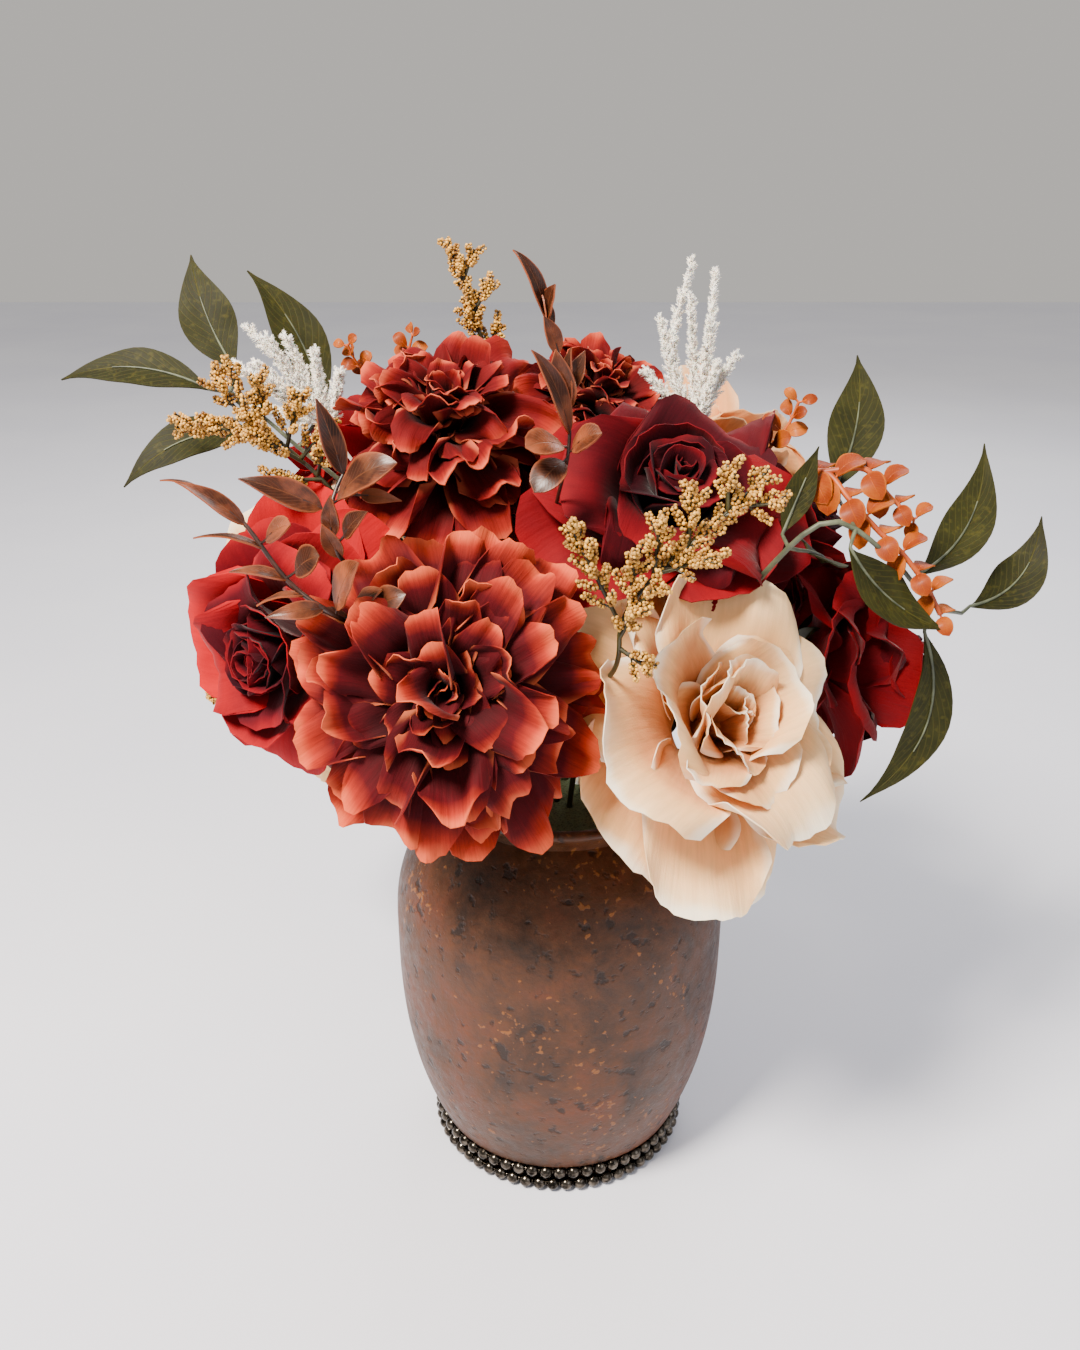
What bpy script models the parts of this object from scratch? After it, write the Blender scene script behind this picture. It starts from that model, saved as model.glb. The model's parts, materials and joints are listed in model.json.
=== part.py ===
"""Autumn arrangement of faux flowers in a turned vase with two strings of beads round its foot.

Units are metres, +Z is up, and the origin is the centre of the vase's flat underside. -Y is the
front. A direction is given as (azimuth, elevation) in degrees: azimuth 0 points to the front,
90 to +X, 180 to the back, and elevation is above the horizon. Heights of the flowers are given
above the vase's lip, so the flowers follow the vase when its height changes.
"""

import math

import bpy
from mathutils import Matrix, Vector

# Fits
CLEARANCE = 0.0003

# Vase: a turned shell with a stepped foot, a belly, a neck and a small lip
VASE_HEIGHT = 0.165
FOOT_RADIUS = 0.0484
SKIRT_RADIUS = 0.0524
BELLY_RADIUS = 0.0670
BELLY_BOTTOM = 0.098
BELLY_TOP = 0.104
NECK_RADIUS = 0.043
LIP_RADIUS = 0.0465
LIP_HEIGHT = 0.009
VASE_WALL = 0.004
VASE_FLOOR = 0.006
TAPER_POWER = 2.6
SHOULDER_POWER = 2.5
VASE_SEGMENTS = 36

# Strings of round beads that lie one on the other round the stepped foot
BEAD_DIAMETER = 0.0058
BEAD_THREAD = 0.0022
BEAD_LIFT = 0.0004
BEAD_SIDES = 5

# Block of dry foam that holds the stems
FOAM_RECESS = 0.008
FOAM_GRIP = 0.055
FOAM_SIDE_GAP = 0.0006

# Stems and moulded sprigs
STEM_DIAMETER = 0.0032
SPRIG_DIAMETER = 0.0022
STEM_SIDES = 6
STEM_STEPS = 8
SLOT_SHARE = 0.42
SLOT_DRAW = 1.5
HOLE_RIM = 0.006
LEAF_THICKNESS = 0.0012
GOLDEN_ANGLE = math.radians(137.5)

# Each bloom: kind, centre (x, y, height above the lip), (azimuth, elevation), (width, height)
# across its petals, depth from the calyx to the heart
BLOOMS = {
    "dahlia_front": ("dahlia", (-0.037, -0.084, 0.074), (-7, 17), (0.102, 0.108), 0.044),
    "peony_front": ("peony", (0.052, -0.066, 0.044), (24, -6), (0.088, 0.112), 0.048),
    "rose_left": ("rose", (-0.097, -0.034, 0.069), (-48, 6), (0.080, 0.086), 0.046),
    "rose_centre": ("rose", (0.038, -0.022, 0.119), (15, 48), (0.076, 0.072), 0.046),
    "dahlia_top": ("dahlia", (-0.041, 0.006, 0.136), (-22, 64), (0.090, 0.090), 0.042),
    "dahlia_crown": ("dahlia", (0.012, 0.062, 0.130), (165, 60), (0.080, 0.078), 0.040),
    "rose_right": ("rose", (0.114, -0.006, 0.050), (76, -2), (0.058, 0.064), 0.046),
    "rose_behind": ("rose", (0.086, 0.026, 0.092), (92, 34), (0.058, 0.058), 0.044),
    "peony_crown": ("peony", (0.068, 0.088, 0.098), (150, 38), (0.070, 0.070), 0.042),
    "peony_left": ("peony", (-0.104, 0.040, 0.044), (-98, -3), (0.088, 0.092), 0.046),
    "dahlia_back": ("dahlia", (-0.030, 0.100, 0.060), (192, 14), (0.090, 0.090), 0.044),
    "peony_back": ("peony", (0.088, 0.058, 0.022), (122, -8), (0.078, 0.082), 0.046),
    "rose_back": ("rose", (-0.088, 0.084, 0.108), (-128, 36), (0.060, 0.060), 0.044),
}

# Side outline of each kind of bloom: radius and height as shares, from the calyx to the heart,
# then how many petals show round it and how far their tips stand out
OUTLINES = {
    "dahlia": ([(0.22, 0), (0.72, 0.1), (1, 0.38), (0.92, 0.7), (0.55, 0.97), (0.2, 0.9)], 8, 0.07),
    "rose": ([(0.2, 0), (0.58, 0.12), (0.96, 0.5), (0.92, 0.8), (0.58, 1), (0.2, 0.93)], 4, 0.05),
    "peony": ([(0.2, 0), (0.62, 0.08), (1, 0.42), (0.96, 0.76), (0.62, 1), (0.2, 0.84)], 4, 0.06),
}
BLOOM_SEGMENTS = 16

# Sprays of willow leaves: the stem's way points (x, y, height above the lip)
SPRAYS = {
    "spray_left": [(-0.056, 0.018, 0.084), (-0.102, 0.020, 0.131), (-0.120, 0.014, 0.149)],
    "spray_right": [
        (0.056, -0.020, 0.066),
        (0.068, -0.050, 0.104),
        (0.085, -0.056, 0.121),
        (0.106, -0.054, 0.108),
        (0.124, -0.046, 0.089),
        (0.140, -0.030, 0.080),
    ],
    "spray_back": [(-0.030, 0.056, 0.092), (-0.062, 0.116, 0.094), (-0.078, 0.130, 0.090)],
}

# Each willow leaf: base, tip (x, y, height above the lip), width, bow of its middle, and the
# (azimuth, elevation) that its upper face looks to
WILLOW_LEAVES = {
    "leaf_left_low": ((-0.125, 0.006, 0.151), (-0.179, 0.010, 0.154), 0.018, (0, 0, 0.006), (0, 50)),
    "leaf_left_tall": ((-0.119, 0.022, 0.155), (-0.136, 0.040, 0.194), 0.022, (-0.004, 0, 0.003), (5, 30)),
    "leaf_left_inner": ((-0.090, 0.034, 0.139), (-0.117, 0.045, 0.188), 0.021, (0.004, 0, 0.003), (10, 35)),
    "leaf_left_drop": ((-0.110, 0.009, 0.135), (-0.155, -0.010, 0.120), 0.019, (0, 0, 0.008), (-10, 50)),
    "leaf_right_tall": ((0.092, -0.026, 0.123), (0.107, 0.020, 0.161), 0.021, (0.004, 0, 0), (-10, 40)),
    "leaf_right_mid": ((0.121, -0.036, 0.096), (0.154, 0.010, 0.131), 0.019, (0.007, 0, -0.005), (-15, 40)),
    "leaf_right_tip": ((0.144, -0.026, 0.081), (0.173, -0.005, 0.108), 0.019, (0.006, 0, -0.006), (-15, 40)),
    "leaf_right_hang": ((0.121, -0.050, 0.081), (0.105, -0.054, 0.018), 0.017, (0.014, 0, 0.002), (15, 20)),
    "leaf_right_arch": ((0.090, -0.062, 0.114), (0.124, -0.062, 0.086), 0.021, (-0.002, 0, -0.004), (10, 50)),
    "leaf_right_inner": ((0.080, -0.048, 0.108), (0.094, -0.010, 0.092), 0.020, (0.003, 0, 0), (20, 60)),
    "leaf_right_small": ((0.072, -0.044, 0.113), (0.083, -0.038, 0.141), 0.011, (0, 0, 0), (0, 30)),
    "leaf_back_low": ((-0.083, 0.134, 0.089), (-0.124, 0.146, 0.082), 0.019, (0, 0, 0.006), (180, 50)),
    "leaf_back_drop": ((-0.076, 0.136, 0.084), (-0.070, 0.160, 0.042), 0.019, (0, 0.006, 0), (190, 20)),
}

# Moulded sprigs. Each has: kind, stem way points (x, y, height above the lip), number of
# leaves or clusters, length of the longest, share of the stem that stays bare
SPRIGS = {
    "bronze_front": (
        "bronze",
        [(-0.050, -0.028, 0.068), (-0.076, -0.062, 0.112), (-0.094, -0.070, 0.126), (-0.118, -0.066, 0.139)],
        10, 0.022, 0.52,
    ),
    "bronze_side": (
        "bronze",
        [(-0.054, -0.014, 0.078), (-0.078, -0.040, 0.116), (-0.082, -0.046, 0.134), (-0.082, -0.044, 0.150)],
        7, 0.026, 0.60,
    ),
    "bronze_top": (
        "bronze",
        [(-0.006, -0.022, 0.098), (-0.004, -0.040, 0.140), (0.000, -0.032, 0.168), (-0.013, -0.012, 0.192)],
        8, 0.021, 0.50,
    ),
    "gold_left": (
        "gold",
        [(-0.070, 0.008, 0.088), (-0.094, -0.010, 0.128), (-0.112, -0.012, 0.145), (-0.125, -0.010, 0.161)],
        10, 0.026, 0.55,
    ),
    "gold_top": (
        "gold",
        [(-0.020, 0.032, 0.070), (-0.035, 0.064, 0.130), (-0.036, 0.056, 0.170), (-0.041, 0.040, 0.204)],
        8, 0.014, 0.56,
    ),
    "gold_front": (
        "gold",
        [(0.010, -0.030, 0.044), (0.014, -0.070, 0.084), (0.036, -0.080, 0.116), (0.058, -0.074, 0.136)],
        10, 0.026, 0.40,
    ),
    "gold_low": (
        "gold",
        [(-0.068, -0.016, 0.010), (-0.104, -0.014, 0.008), (-0.128, -0.008, 0.028)],
        4, 0.012, 0.64,
    ),
    "gold_back": (
        "gold",
        [(0.016, 0.052, 0.044), (0.026, 0.108, 0.082), (0.034, 0.124, 0.104)],
        7, 0.022, 0.56,
    ),
    "pampas_left": (
        "pampas",
        [(-0.066, 0.030, 0.092), (-0.091, 0.026, 0.130), (-0.101, 0.013, 0.157)],
        5, 0.036, 0.70,
    ),
    "pampas_right": (
        "pampas",
        [(0.024, 0.028, 0.080), (0.042, 0.018, 0.128), (0.044, 0.036, 0.162)],
        6, 0.052, 0.74,
    ),
    "coral_right": (
        "coral",
        [(0.064, -0.008, 0.082), (0.084, -0.028, 0.134), (0.104, -0.050, 0.126), (0.129, -0.056, 0.092)],
        12, 0.014, 0.52,
    ),
    "coral_up": (
        "coral",
        [(0.042, 0.016, 0.080), (0.072, 0.002, 0.128), (0.082, 0.002, 0.150)],
        5, 0.012, 0.70,
    ),
    "coral_top": (
        "coral",
        [(-0.040, 0.036, 0.090), (-0.066, 0.054, 0.148), (-0.078, 0.036, 0.166)],
        5, 0.012, 0.74,
    ),
}
SPRIG_SHAPES = {"bronze": (0.5, 55), "coral": (0.55, 60), "gold": (0.3, 34), "pampas": (0.16, 14)}

# Colour, roughness and metallic value of each material
MATERIALS = {
    "rust_glaze": ((0.20, 0.09, 0.05), 0.45, 0.3),
    "dark_metal": ((0.12, 0.11, 0.09), 0.30, 1.0),
    "foam": ((0.10, 0.16, 0.07), 0.95, 0.0),
    "stem_green": ((0.10, 0.13, 0.05), 0.60, 0.0),
    "dahlia": ((0.42, 0.06, 0.03), 0.75, 0.0),
    "rose": ((0.36, 0.01, 0.02), 0.75, 0.0),
    "peony": ((0.85, 0.66, 0.48), 0.80, 0.0),
    "willow": ((0.16, 0.19, 0.06), 0.65, 0.0),
    "bronze": ((0.22, 0.09, 0.05), 0.40, 0.0),
    "gold": ((0.60, 0.38, 0.12), 0.60, 0.0),
    "pampas": ((0.85, 0.80, 0.72), 0.90, 0.0),
    "coral": ((0.75, 0.22, 0.09), 0.50, 0.0),
}


def clear_scene():
    for thing in list(bpy.data.objects):
        bpy.data.objects.remove(thing)


def material(name):
    """The named Principled material, made on first use."""
    made = bpy.data.materials.get(name)
    if made is None:
        colour, roughness, metallic = MATERIALS[name]
        made = bpy.data.materials.new(name)
        made.use_nodes = True
        shader = made.node_tree.nodes["Principled BSDF"]
        shader.inputs["Base Color"].default_value = (*colour, 1)
        shader.inputs["Roughness"].default_value = roughness
        shader.inputs["Metallic"].default_value = metallic
    return made


def heading(azimuth, elevation):
    """Unit vector of a direction given in degrees."""
    a = math.radians(azimuth)
    e = math.radians(elevation)
    return Vector((math.sin(a) * math.cos(e), -math.cos(a) * math.cos(e), math.sin(e)))


def above_lip(point):
    return Vector((point[0], point[1], VASE_HEIGHT + point[2]))


def placed(name, verts, faces, slot):
    """Makes an object from vertices and faces, with its material."""
    mesh = bpy.data.meshes.new(name)
    mesh.from_pydata([tuple(v) for v in verts], [], faces)
    mesh.update()
    thing = bpy.data.objects.new(name, mesh)
    thing.data.materials.append(material(slot))
    bpy.context.scene.collection.objects.link(thing)
    mesh.shade_smooth()
    mesh.set_sharp_from_angle(angle=math.radians(40))
    return thing


def loft(rings, start=None, end=None, closed=False):
    """Vertices and faces of a skin over rings of equal length, each turning the same way as seen
    from the end. The ends close on the points start and end, or on flat faces, unless the loft is
    closed on itself."""
    size = len(rings[0])
    verts = [point for ring in rings for point in ring]
    faces = []
    spans = len(rings) if closed else len(rings) - 1
    for i in range(spans):
        low = i * size
        high = (i + 1) % len(rings) * size
        for k in range(size):
            n = (k + 1) % size
            faces.append((low + k, low + n, high + n, high + k))
    if closed:
        return verts, faces
    last = (len(rings) - 1) * size
    for pole, base, turn in ((start, 0, -1), (end, last, 1)):
        rim = [base + k for k in range(size)][::turn]
        if pole is None:
            faces.append(tuple(rim))
            continue
        verts.append(pole)
        tip = len(verts) - 1
        faces += [(rim[k], rim[(k + 1) % size], tip) for k in range(size)]
    return verts, faces


def smooth_path(points, steps):
    """Points spread evenly in parameter along a Catmull-Rom curve through the given points."""
    guide = [2 * points[0] - points[1], *points, 2 * points[-1] - points[-2]]
    path = []
    for i in range(steps + 1):
        along = i / steps * (len(points) - 1)
        k = min(int(along), len(points) - 2)
        t = along - k
        a, b, c, d = guide[k:k + 4]
        path.append(
            0.5 * (2 * b + (c - a) * t + (2 * a - 5 * b + 4 * c - d) * t**2
                   + (3 * b - a - 3 * c + d) * t**3)
        )
    return path


def frames_along(path):
    """Tangent and two cross directions at each point, carried along without twist."""
    tangents = []
    for i in range(len(path)):
        before = path[max(i - 1, 0)]
        after = path[min(i + 1, len(path) - 1)]
        tangents.append((after - before).normalized())
    side = tangents[0].orthogonal().normalized()
    frames = []
    for tangent in tangents:
        side = (side - tangent * side.dot(tangent)).normalized()
        frames.append((tangent, side, tangent.cross(side)))
    return frames


def tube(path, radii, sides):
    """Vertices and faces of a closed tube along a path, with a radius at each point."""
    rings = []
    for point, radius, (_, u, v) in zip(path, radii, frames_along(path)):
        ring = []
        for k in range(sides):
            angle = 2 * math.pi * k / sides
            ring.append(point + radius * (math.cos(angle) * u + math.sin(angle) * v))
        rings.append(ring)
    return loft(rings)


def spindle(base, tip, radius, sides):
    """Vertices and faces of a closed shape that swells between two points."""
    axis = tip - base
    u = axis.orthogonal().normalized()
    v = axis.normalized().cross(u)
    rings = []
    for along, share in ((0.12, 0.55), (0.45, 1.0), (0.85, 0.6)):
        ring = []
        for k in range(sides):
            angle = 2 * math.pi * k / sides
            ring.append(base + along * axis + share * radius * (math.cos(angle) * u + math.sin(angle) * v))
        rings.append(ring)
    return loft(rings, start=base, end=tip)


def leaf_blade(base, tip, width, bow, face, stations=6):
    """Vertices and faces of a leaf: a lens in section, pointed at both ends, its middle bowed and
    its upper side looking the way of the vector face."""
    axis = tip - base
    side = axis.cross(face).normalized()
    rings = []
    for i in range(1, stations):
        t = i / stations
        centre = base + axis * t + Vector(bow) * 4 * t * (1 - t)
        half = width / 2 * math.sin(math.pi * t**0.85) ** 0.8
        normal = axis.cross(side).normalized()
        thick = normal * LEAF_THICKNESS / 2
        rings.append([centre + side * half, centre + thick, centre - side * half, centre - thick])
    return loft(rings, start=base, end=tip)


def united(name, shapes, slot):
    """One object from overlapping closed shapes, each given as vertices and faces."""
    pieces = [placed(f"{name}_piece_{i}", *shape, slot) for i, shape in enumerate(shapes)]
    whole = pieces[0]
    for other in pieces[1:]:
        join = whole.modifiers.new("join", "BOOLEAN")
        join.operation = "UNION"
        join.object = other
    bpy.context.view_layer.update()
    graph = bpy.context.evaluated_depsgraph_get()
    mesh = bpy.data.meshes.new_from_object(whole.evaluated_get(graph))
    mesh.name = name
    for piece in pieces:
        bpy.data.objects.remove(piece)
    thing = bpy.data.objects.new(name, mesh)
    bpy.context.scene.collection.objects.link(thing)
    return thing


def cut_by(thing, cutters):
    """Cuts shapes out of an object, each given as vertices and faces."""
    for i, shape in enumerate(cutters):
        cutter = placed(f"{thing.name}_cutter_{i}", *shape, "foam")
        cutter.hide_render = True
        cutter.display_type = "WIRE"
        cut = thing.modifiers.new("hole", "BOOLEAN")
        cut.operation = "DIFFERENCE"
        cut.object = cutter


def turned(profile, segments):
    """Vertices and faces of a profile (radius, height) turned about the vase's axis. It runs from
    the underside up the outside, and down the inside to the floor."""
    rings = []
    for radius, height in profile:
        ring = []
        for k in range(segments):
            angle = 2 * math.pi * k / segments
            ring.append(Vector((radius * math.cos(angle), radius * math.sin(angle), height)))
        rings.append(ring)
    return loft(rings)


def foot_height():
    """Height of the step that both bead strings sit in."""
    return BEAD_LIFT + 2 * BEAD_DIAMETER + 3 * CLEARANCE


def vase_radius(height):
    """Outer radius of the vase above its foot and below its neck."""
    if height < BELLY_BOTTOM:
        share = (height - foot_height()) / (BELLY_BOTTOM - foot_height())
        return SKIRT_RADIUS + (BELLY_RADIUS - SKIRT_RADIUS) * (1 - (1 - share) ** TAPER_POWER)
    share = max(0.0, (height - BELLY_TOP) / (VASE_HEIGHT - LIP_HEIGHT - BELLY_TOP))
    return BELLY_RADIUS - (BELLY_RADIUS - NECK_RADIUS) * share**SHOULDER_POWER


def build_vase():
    neck = VASE_HEIGHT - LIP_HEIGHT
    taper = [foot_height() + (BELLY_BOTTOM - foot_height()) * i / 5 for i in range(6)]
    shoulder = [BELLY_TOP + (neck - BELLY_TOP) * (i / 5) ** 0.7 for i in range(6)]
    heights = taper + shoulder
    outside = [(FOOT_RADIUS, 0), (FOOT_RADIUS, foot_height())]
    outside += [(vase_radius(z), z) for z in heights]
    lip = [
        (LIP_RADIUS, VASE_HEIGHT - 0.3 * LIP_HEIGHT),
        (LIP_RADIUS - 0.3 * VASE_WALL, VASE_HEIGHT),
        (LIP_RADIUS - VASE_WALL, VASE_HEIGHT - 0.1 * LIP_HEIGHT),
    ]
    inside = [(vase_radius(z) - VASE_WALL, z) for z in heights[::-1][:-1]]
    inside += [(FOOT_RADIUS - VASE_WALL, foot_height()), (FOOT_RADIUS - VASE_WALL, VASE_FLOOR)]
    placed("vase", *turned(outside + lip + inside, VASE_SEGMENTS), "rust_glaze")


def build_bead_string(name, height):
    """A string of beads lying round the foot: one body, narrow where two beads meet."""
    ring_radius = FOOT_RADIUS + CLEARANCE + BEAD_DIAMETER / 2
    count = int(2 * math.pi * ring_radius / BEAD_DIAMETER)
    rings = []
    for i in range(2 * count):
        around = math.pi * i / count
        outward = Vector((math.cos(around), math.sin(around), 0))
        thick = BEAD_DIAMETER if i % 2 else BEAD_THREAD
        ring = []
        for k in range(BEAD_SIDES):
            angle = -2 * math.pi * k / BEAD_SIDES
            radius = ring_radius + thick / 2 * math.cos(angle)
            ring.append(outward * radius + Vector((0, 0, thick / 2 * math.sin(angle))))
        rings.append(ring)
    string = placed(name, *loft(rings, closed=True), "dark_metal")
    string.location.z = height


def build_bead_strings():
    low = BEAD_LIFT + BEAD_DIAMETER / 2
    build_bead_string("beads_lower", low)
    build_bead_string("beads_upper", low + BEAD_DIAMETER + CLEARANCE)


def slot_on_foam(target):
    """Where the stem that leads to a point comes out of the foam block. The lower the point, the
    nearer to the rim its stem stands."""
    flat = Vector((target.x, target.y, 0)) * (SLOT_SHARE - SLOT_DRAW * (target.z - VASE_HEIGHT))
    furthest = NECK_RADIUS - VASE_WALL - HOLE_RIM
    if flat.length > furthest:
        flat = flat.normalized() * furthest
    return flat + Vector((0, 0, VASE_HEIGHT - FOAM_RECESS))


def stem_route(points):
    """A way from inside the foam block up through its top and along the given points."""
    slot = slot_on_foam(points[0])
    foot = slot - Vector((0.15 * slot.x, 0.15 * slot.y, FOAM_GRIP))
    return [foot, slot, *points]


def build_bloom(name, kind, centre, facing, across, depth):
    """The flower head: a lobed solid whose rows of petals are set half a petal apart. It is built
    round its own Z axis, from the calyx up, and turned to face its way."""
    outline, petals, stand_out = OUTLINES[kind]
    rings = []
    for row, (radius, height) in enumerate(outline):
        ring = []
        for k in range(BLOOM_SEGMENTS):
            angle = 2 * math.pi * k / BLOOM_SEGMENTS
            lobe = 1 + stand_out * (row > 0) * math.cos(petals * angle + math.pi * row)
            reach = radius * lobe / 2 / (1 + stand_out)
            ring.append(Vector((
                reach * across[0] * math.cos(angle),
                reach * across[1] * math.sin(angle),
                height * depth,
            )))
        rings.append(ring)
    head = placed(name, *loft(rings), kind)
    axis = heading(*facing)
    base = above_lip(centre) - axis * depth / 2
    level = Vector((0, 0, 1)).cross(axis).normalized()
    head.rotation_euler = Matrix((level, axis.cross(level), axis)).transposed().to_euler()
    head.location = base
    return base, axis


def build_bloom_stem(name, base, axis, depth):
    """The stem of a bloom, with a calyx that widens under the flower head. Returns its route."""
    end = base - axis * CLEARANCE
    route = stem_route([end - axis * 0.5 * depth, end - axis * 0.2 * depth])
    path = smooth_path(route, STEM_STEPS) + [end]
    radii = [STEM_DIAMETER / 2] * STEM_STEPS + [0.7 * STEM_DIAMETER, 1.3 * STEM_DIAMETER]
    placed(f"{name}_stem", *tube(path, radii, STEM_SIDES), "stem_green")
    return path, STEM_DIAMETER / 2


def build_spray_stem(name, points):
    path = smooth_path(stem_route([above_lip(p) for p in points]), STEM_STEPS + 4)
    radii = [SPRIG_DIAMETER / 2 * (1.3 - 0.6 * i / len(path)) for i in range(len(path))]
    placed(f"{name}_stem", *tube(path, radii, STEM_SIDES), "stem_green")
    return path, radii[0]


def build_willow_leaf(name, base, tip, width, bow, facing):
    blade = leaf_blade(above_lip(base), above_lip(tip), width, bow, heading(*facing))
    placed(name, *blade, "willow")


def sprig_offshoots(kind, path, count, length, bare):
    """Leaves, clusters or plumes that leave a sprig's stem, each as vertices and faces."""
    fatness, splay = SPRIG_SHAPES[kind]
    frames = frames_along(path)
    shapes = []
    for i in range(count):
        share = bare + (1 - bare) * (i + 0.5) / count
        k = min(int(share * (len(path) - 1)), len(path) - 2)
        start = path[k].lerp(path[k + 1], share * (len(path) - 1) - k)
        tangent, u, v = frames[k]
        turn = i * GOLDEN_ANGLE
        outward = math.cos(turn) * u + math.sin(turn) * v
        lean = math.radians(splay)
        way = tangent * math.cos(lean) + outward * math.sin(lean)
        reach = length * (1 - 0.45 * i / count)
        tip = start + way * reach
        if kind in ("gold", "pampas"):
            shapes.append(spindle(start, tip, fatness * reach / 2, 4))
        else:
            shapes.append(leaf_blade(start, tip, fatness * reach, (0, 0, 0), tangent, 4))
    return shapes


def build_sprig(name, kind, points, count, length, bare):
    """A moulded sprig: its stem and offshoots are one body."""
    steps = STEM_STEPS + 2
    path = smooth_path(stem_route([above_lip(p) for p in points]), steps)
    radii = [SPRIG_DIAMETER / 2 * (1.2 - 0.5 * i / steps) for i in range(steps + 1)]
    shapes = [tube(path, radii, 5)] + sprig_offshoots(kind, path, count, length, bare)
    united(name, shapes, kind)
    return path, radii[0]


def build_foam(stems):
    """The foam block, pushed down the neck to the vase's floor, with a hole for each stem."""
    radius = NECK_RADIUS - VASE_WALL - FOAM_SIDE_GAP
    top = VASE_HEIGHT - FOAM_RECESS
    block = placed("foam_block", *turned([(radius, VASE_FLOOR + CLEARANCE), (radius, top)], 24), "foam")
    cutters = []
    for path, stem_radius in stems:
        start = path[0] - (path[1] - path[0]).normalized() * CLEARANCE
        inside = sum(point.z < top for point in path)
        route = [start, *path[1:inside + 2]]
        cutters.append(tube(route, [stem_radius + CLEARANCE] * len(route), STEM_SIDES))
    cut_by(block, cutters)


def main():
    clear_scene()
    build_vase()
    build_bead_strings()
    stems = []
    for name, (kind, centre, facing, across, depth) in BLOOMS.items():
        base, axis = build_bloom(name, kind, centre, facing, across, depth)
        stems.append(build_bloom_stem(name, base, axis, depth))
    for name, points in SPRAYS.items():
        stems.append(build_spray_stem(name, points))
    for name, leaf in WILLOW_LEAVES.items():
        build_willow_leaf(name, *leaf)
    for name, (kind, points, count, length, bare) in SPRIGS.items():
        stems.append(build_sprig(name, kind, points, count, length, bare))
    build_foam(stems)


main()
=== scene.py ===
"""Looks of the faux flower arrangement: cloth petals, printed leaves, moulded sprigs, and the vase.

Units are metres and +Z is up. Each bloom and leaf takes its place from its CAD solid, and the
sprigs' way points are given above the vase's lip, whose height is read from the frame.
"""

from __future__ import annotations

import json
import logging
import math
from dataclasses import dataclass, field
from enum import Enum
from functools import partial
from typing import ClassVar, Sequence

import bpy
import numpy as np
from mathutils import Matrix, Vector

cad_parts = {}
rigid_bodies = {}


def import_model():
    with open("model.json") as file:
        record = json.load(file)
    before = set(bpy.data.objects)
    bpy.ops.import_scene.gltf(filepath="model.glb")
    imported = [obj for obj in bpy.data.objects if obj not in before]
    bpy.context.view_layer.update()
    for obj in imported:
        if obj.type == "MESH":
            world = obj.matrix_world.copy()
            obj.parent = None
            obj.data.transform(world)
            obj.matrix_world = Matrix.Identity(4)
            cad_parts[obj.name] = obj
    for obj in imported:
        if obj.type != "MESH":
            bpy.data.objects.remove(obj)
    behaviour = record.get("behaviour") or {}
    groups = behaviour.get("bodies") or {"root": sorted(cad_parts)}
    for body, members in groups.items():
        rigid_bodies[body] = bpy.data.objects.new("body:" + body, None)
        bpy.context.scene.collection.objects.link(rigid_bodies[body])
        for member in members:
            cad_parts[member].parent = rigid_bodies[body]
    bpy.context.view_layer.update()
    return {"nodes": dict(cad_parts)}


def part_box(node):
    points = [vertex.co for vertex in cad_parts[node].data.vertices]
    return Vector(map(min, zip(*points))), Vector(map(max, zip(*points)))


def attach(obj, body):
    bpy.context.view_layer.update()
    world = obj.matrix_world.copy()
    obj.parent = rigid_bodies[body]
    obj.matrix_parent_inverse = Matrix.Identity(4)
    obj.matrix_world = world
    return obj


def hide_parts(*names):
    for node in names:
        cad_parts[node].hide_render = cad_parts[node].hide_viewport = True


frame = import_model()

log = logging.getLogger("arrangement")
Array = np.ndarray
MM = 0.001
CM = 0.01
GOLDEN_ANGLE = math.radians(137.508)
UP = np.array([0.0, 0.0, 1.0])
CURVE_STEPS = 12  # steps between two way points of a smooth path
SHARP_EDGE = math.radians(62)  # shading breaks over edges sharper than this


# ---------------------------------------------------------------------------------------------
# Small geometry helpers
# ---------------------------------------------------------------------------------------------


def unit(v: Array) -> Array:
    """The vectors v, each of length one."""
    return v / np.maximum(np.linalg.norm(v, axis=-1, keepdims=True), 1e-12)


def ease(x: Array | float, low: float, high: float) -> Array:
    """Smooth step of x from 0 at low to 1 at high."""
    t = np.clip((np.asarray(x, float) - low) / (high - low), 0.0, 1.0)
    return t * t * (3 - 2 * t)


def heading(azimuth: float, elevation: float) -> Array:
    """Unit vector of a direction in degrees: azimuth 0 is the front, 90 is +X."""
    a, e = math.radians(azimuth), math.radians(elevation)
    return np.array([math.sin(a) * math.cos(e), -math.cos(a) * math.cos(e), math.sin(e)])


def smooth_path(points: Sequence[Array], count: int) -> Array:
    """A Catmull-Rom curve through points.

    Args:
        points: The points that the curve passes through.
        count: How many points to return.

    Returns:
        The curve's points, spaced evenly along its length.
    """
    way = np.array(points, float)
    guide = np.vstack([2 * way[0] - way[1], way, 2 * way[-1] - way[-2]])
    fine = []
    for i in range(len(way) - 1):
        a, b, c, d = guide[i:i + 4]
        for t in np.linspace(0, 1, CURVE_STEPS, endpoint=False):
            cubic = (2 * a - 5 * b + 4 * c - d) * t**2 + (3 * b - a - 3 * c + d) * t**3
            fine.append(0.5 * (2 * b + (c - a) * t + cubic))
    fine.append(way[-1])
    curve = np.array(fine)
    reach = np.r_[0, np.cumsum(np.linalg.norm(np.diff(curve, axis=0), axis=1))]
    wanted = np.linspace(0, reach[-1], count)
    return np.stack([np.interp(wanted, reach, curve[:, k]) for k in range(3)], axis=1)


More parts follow.
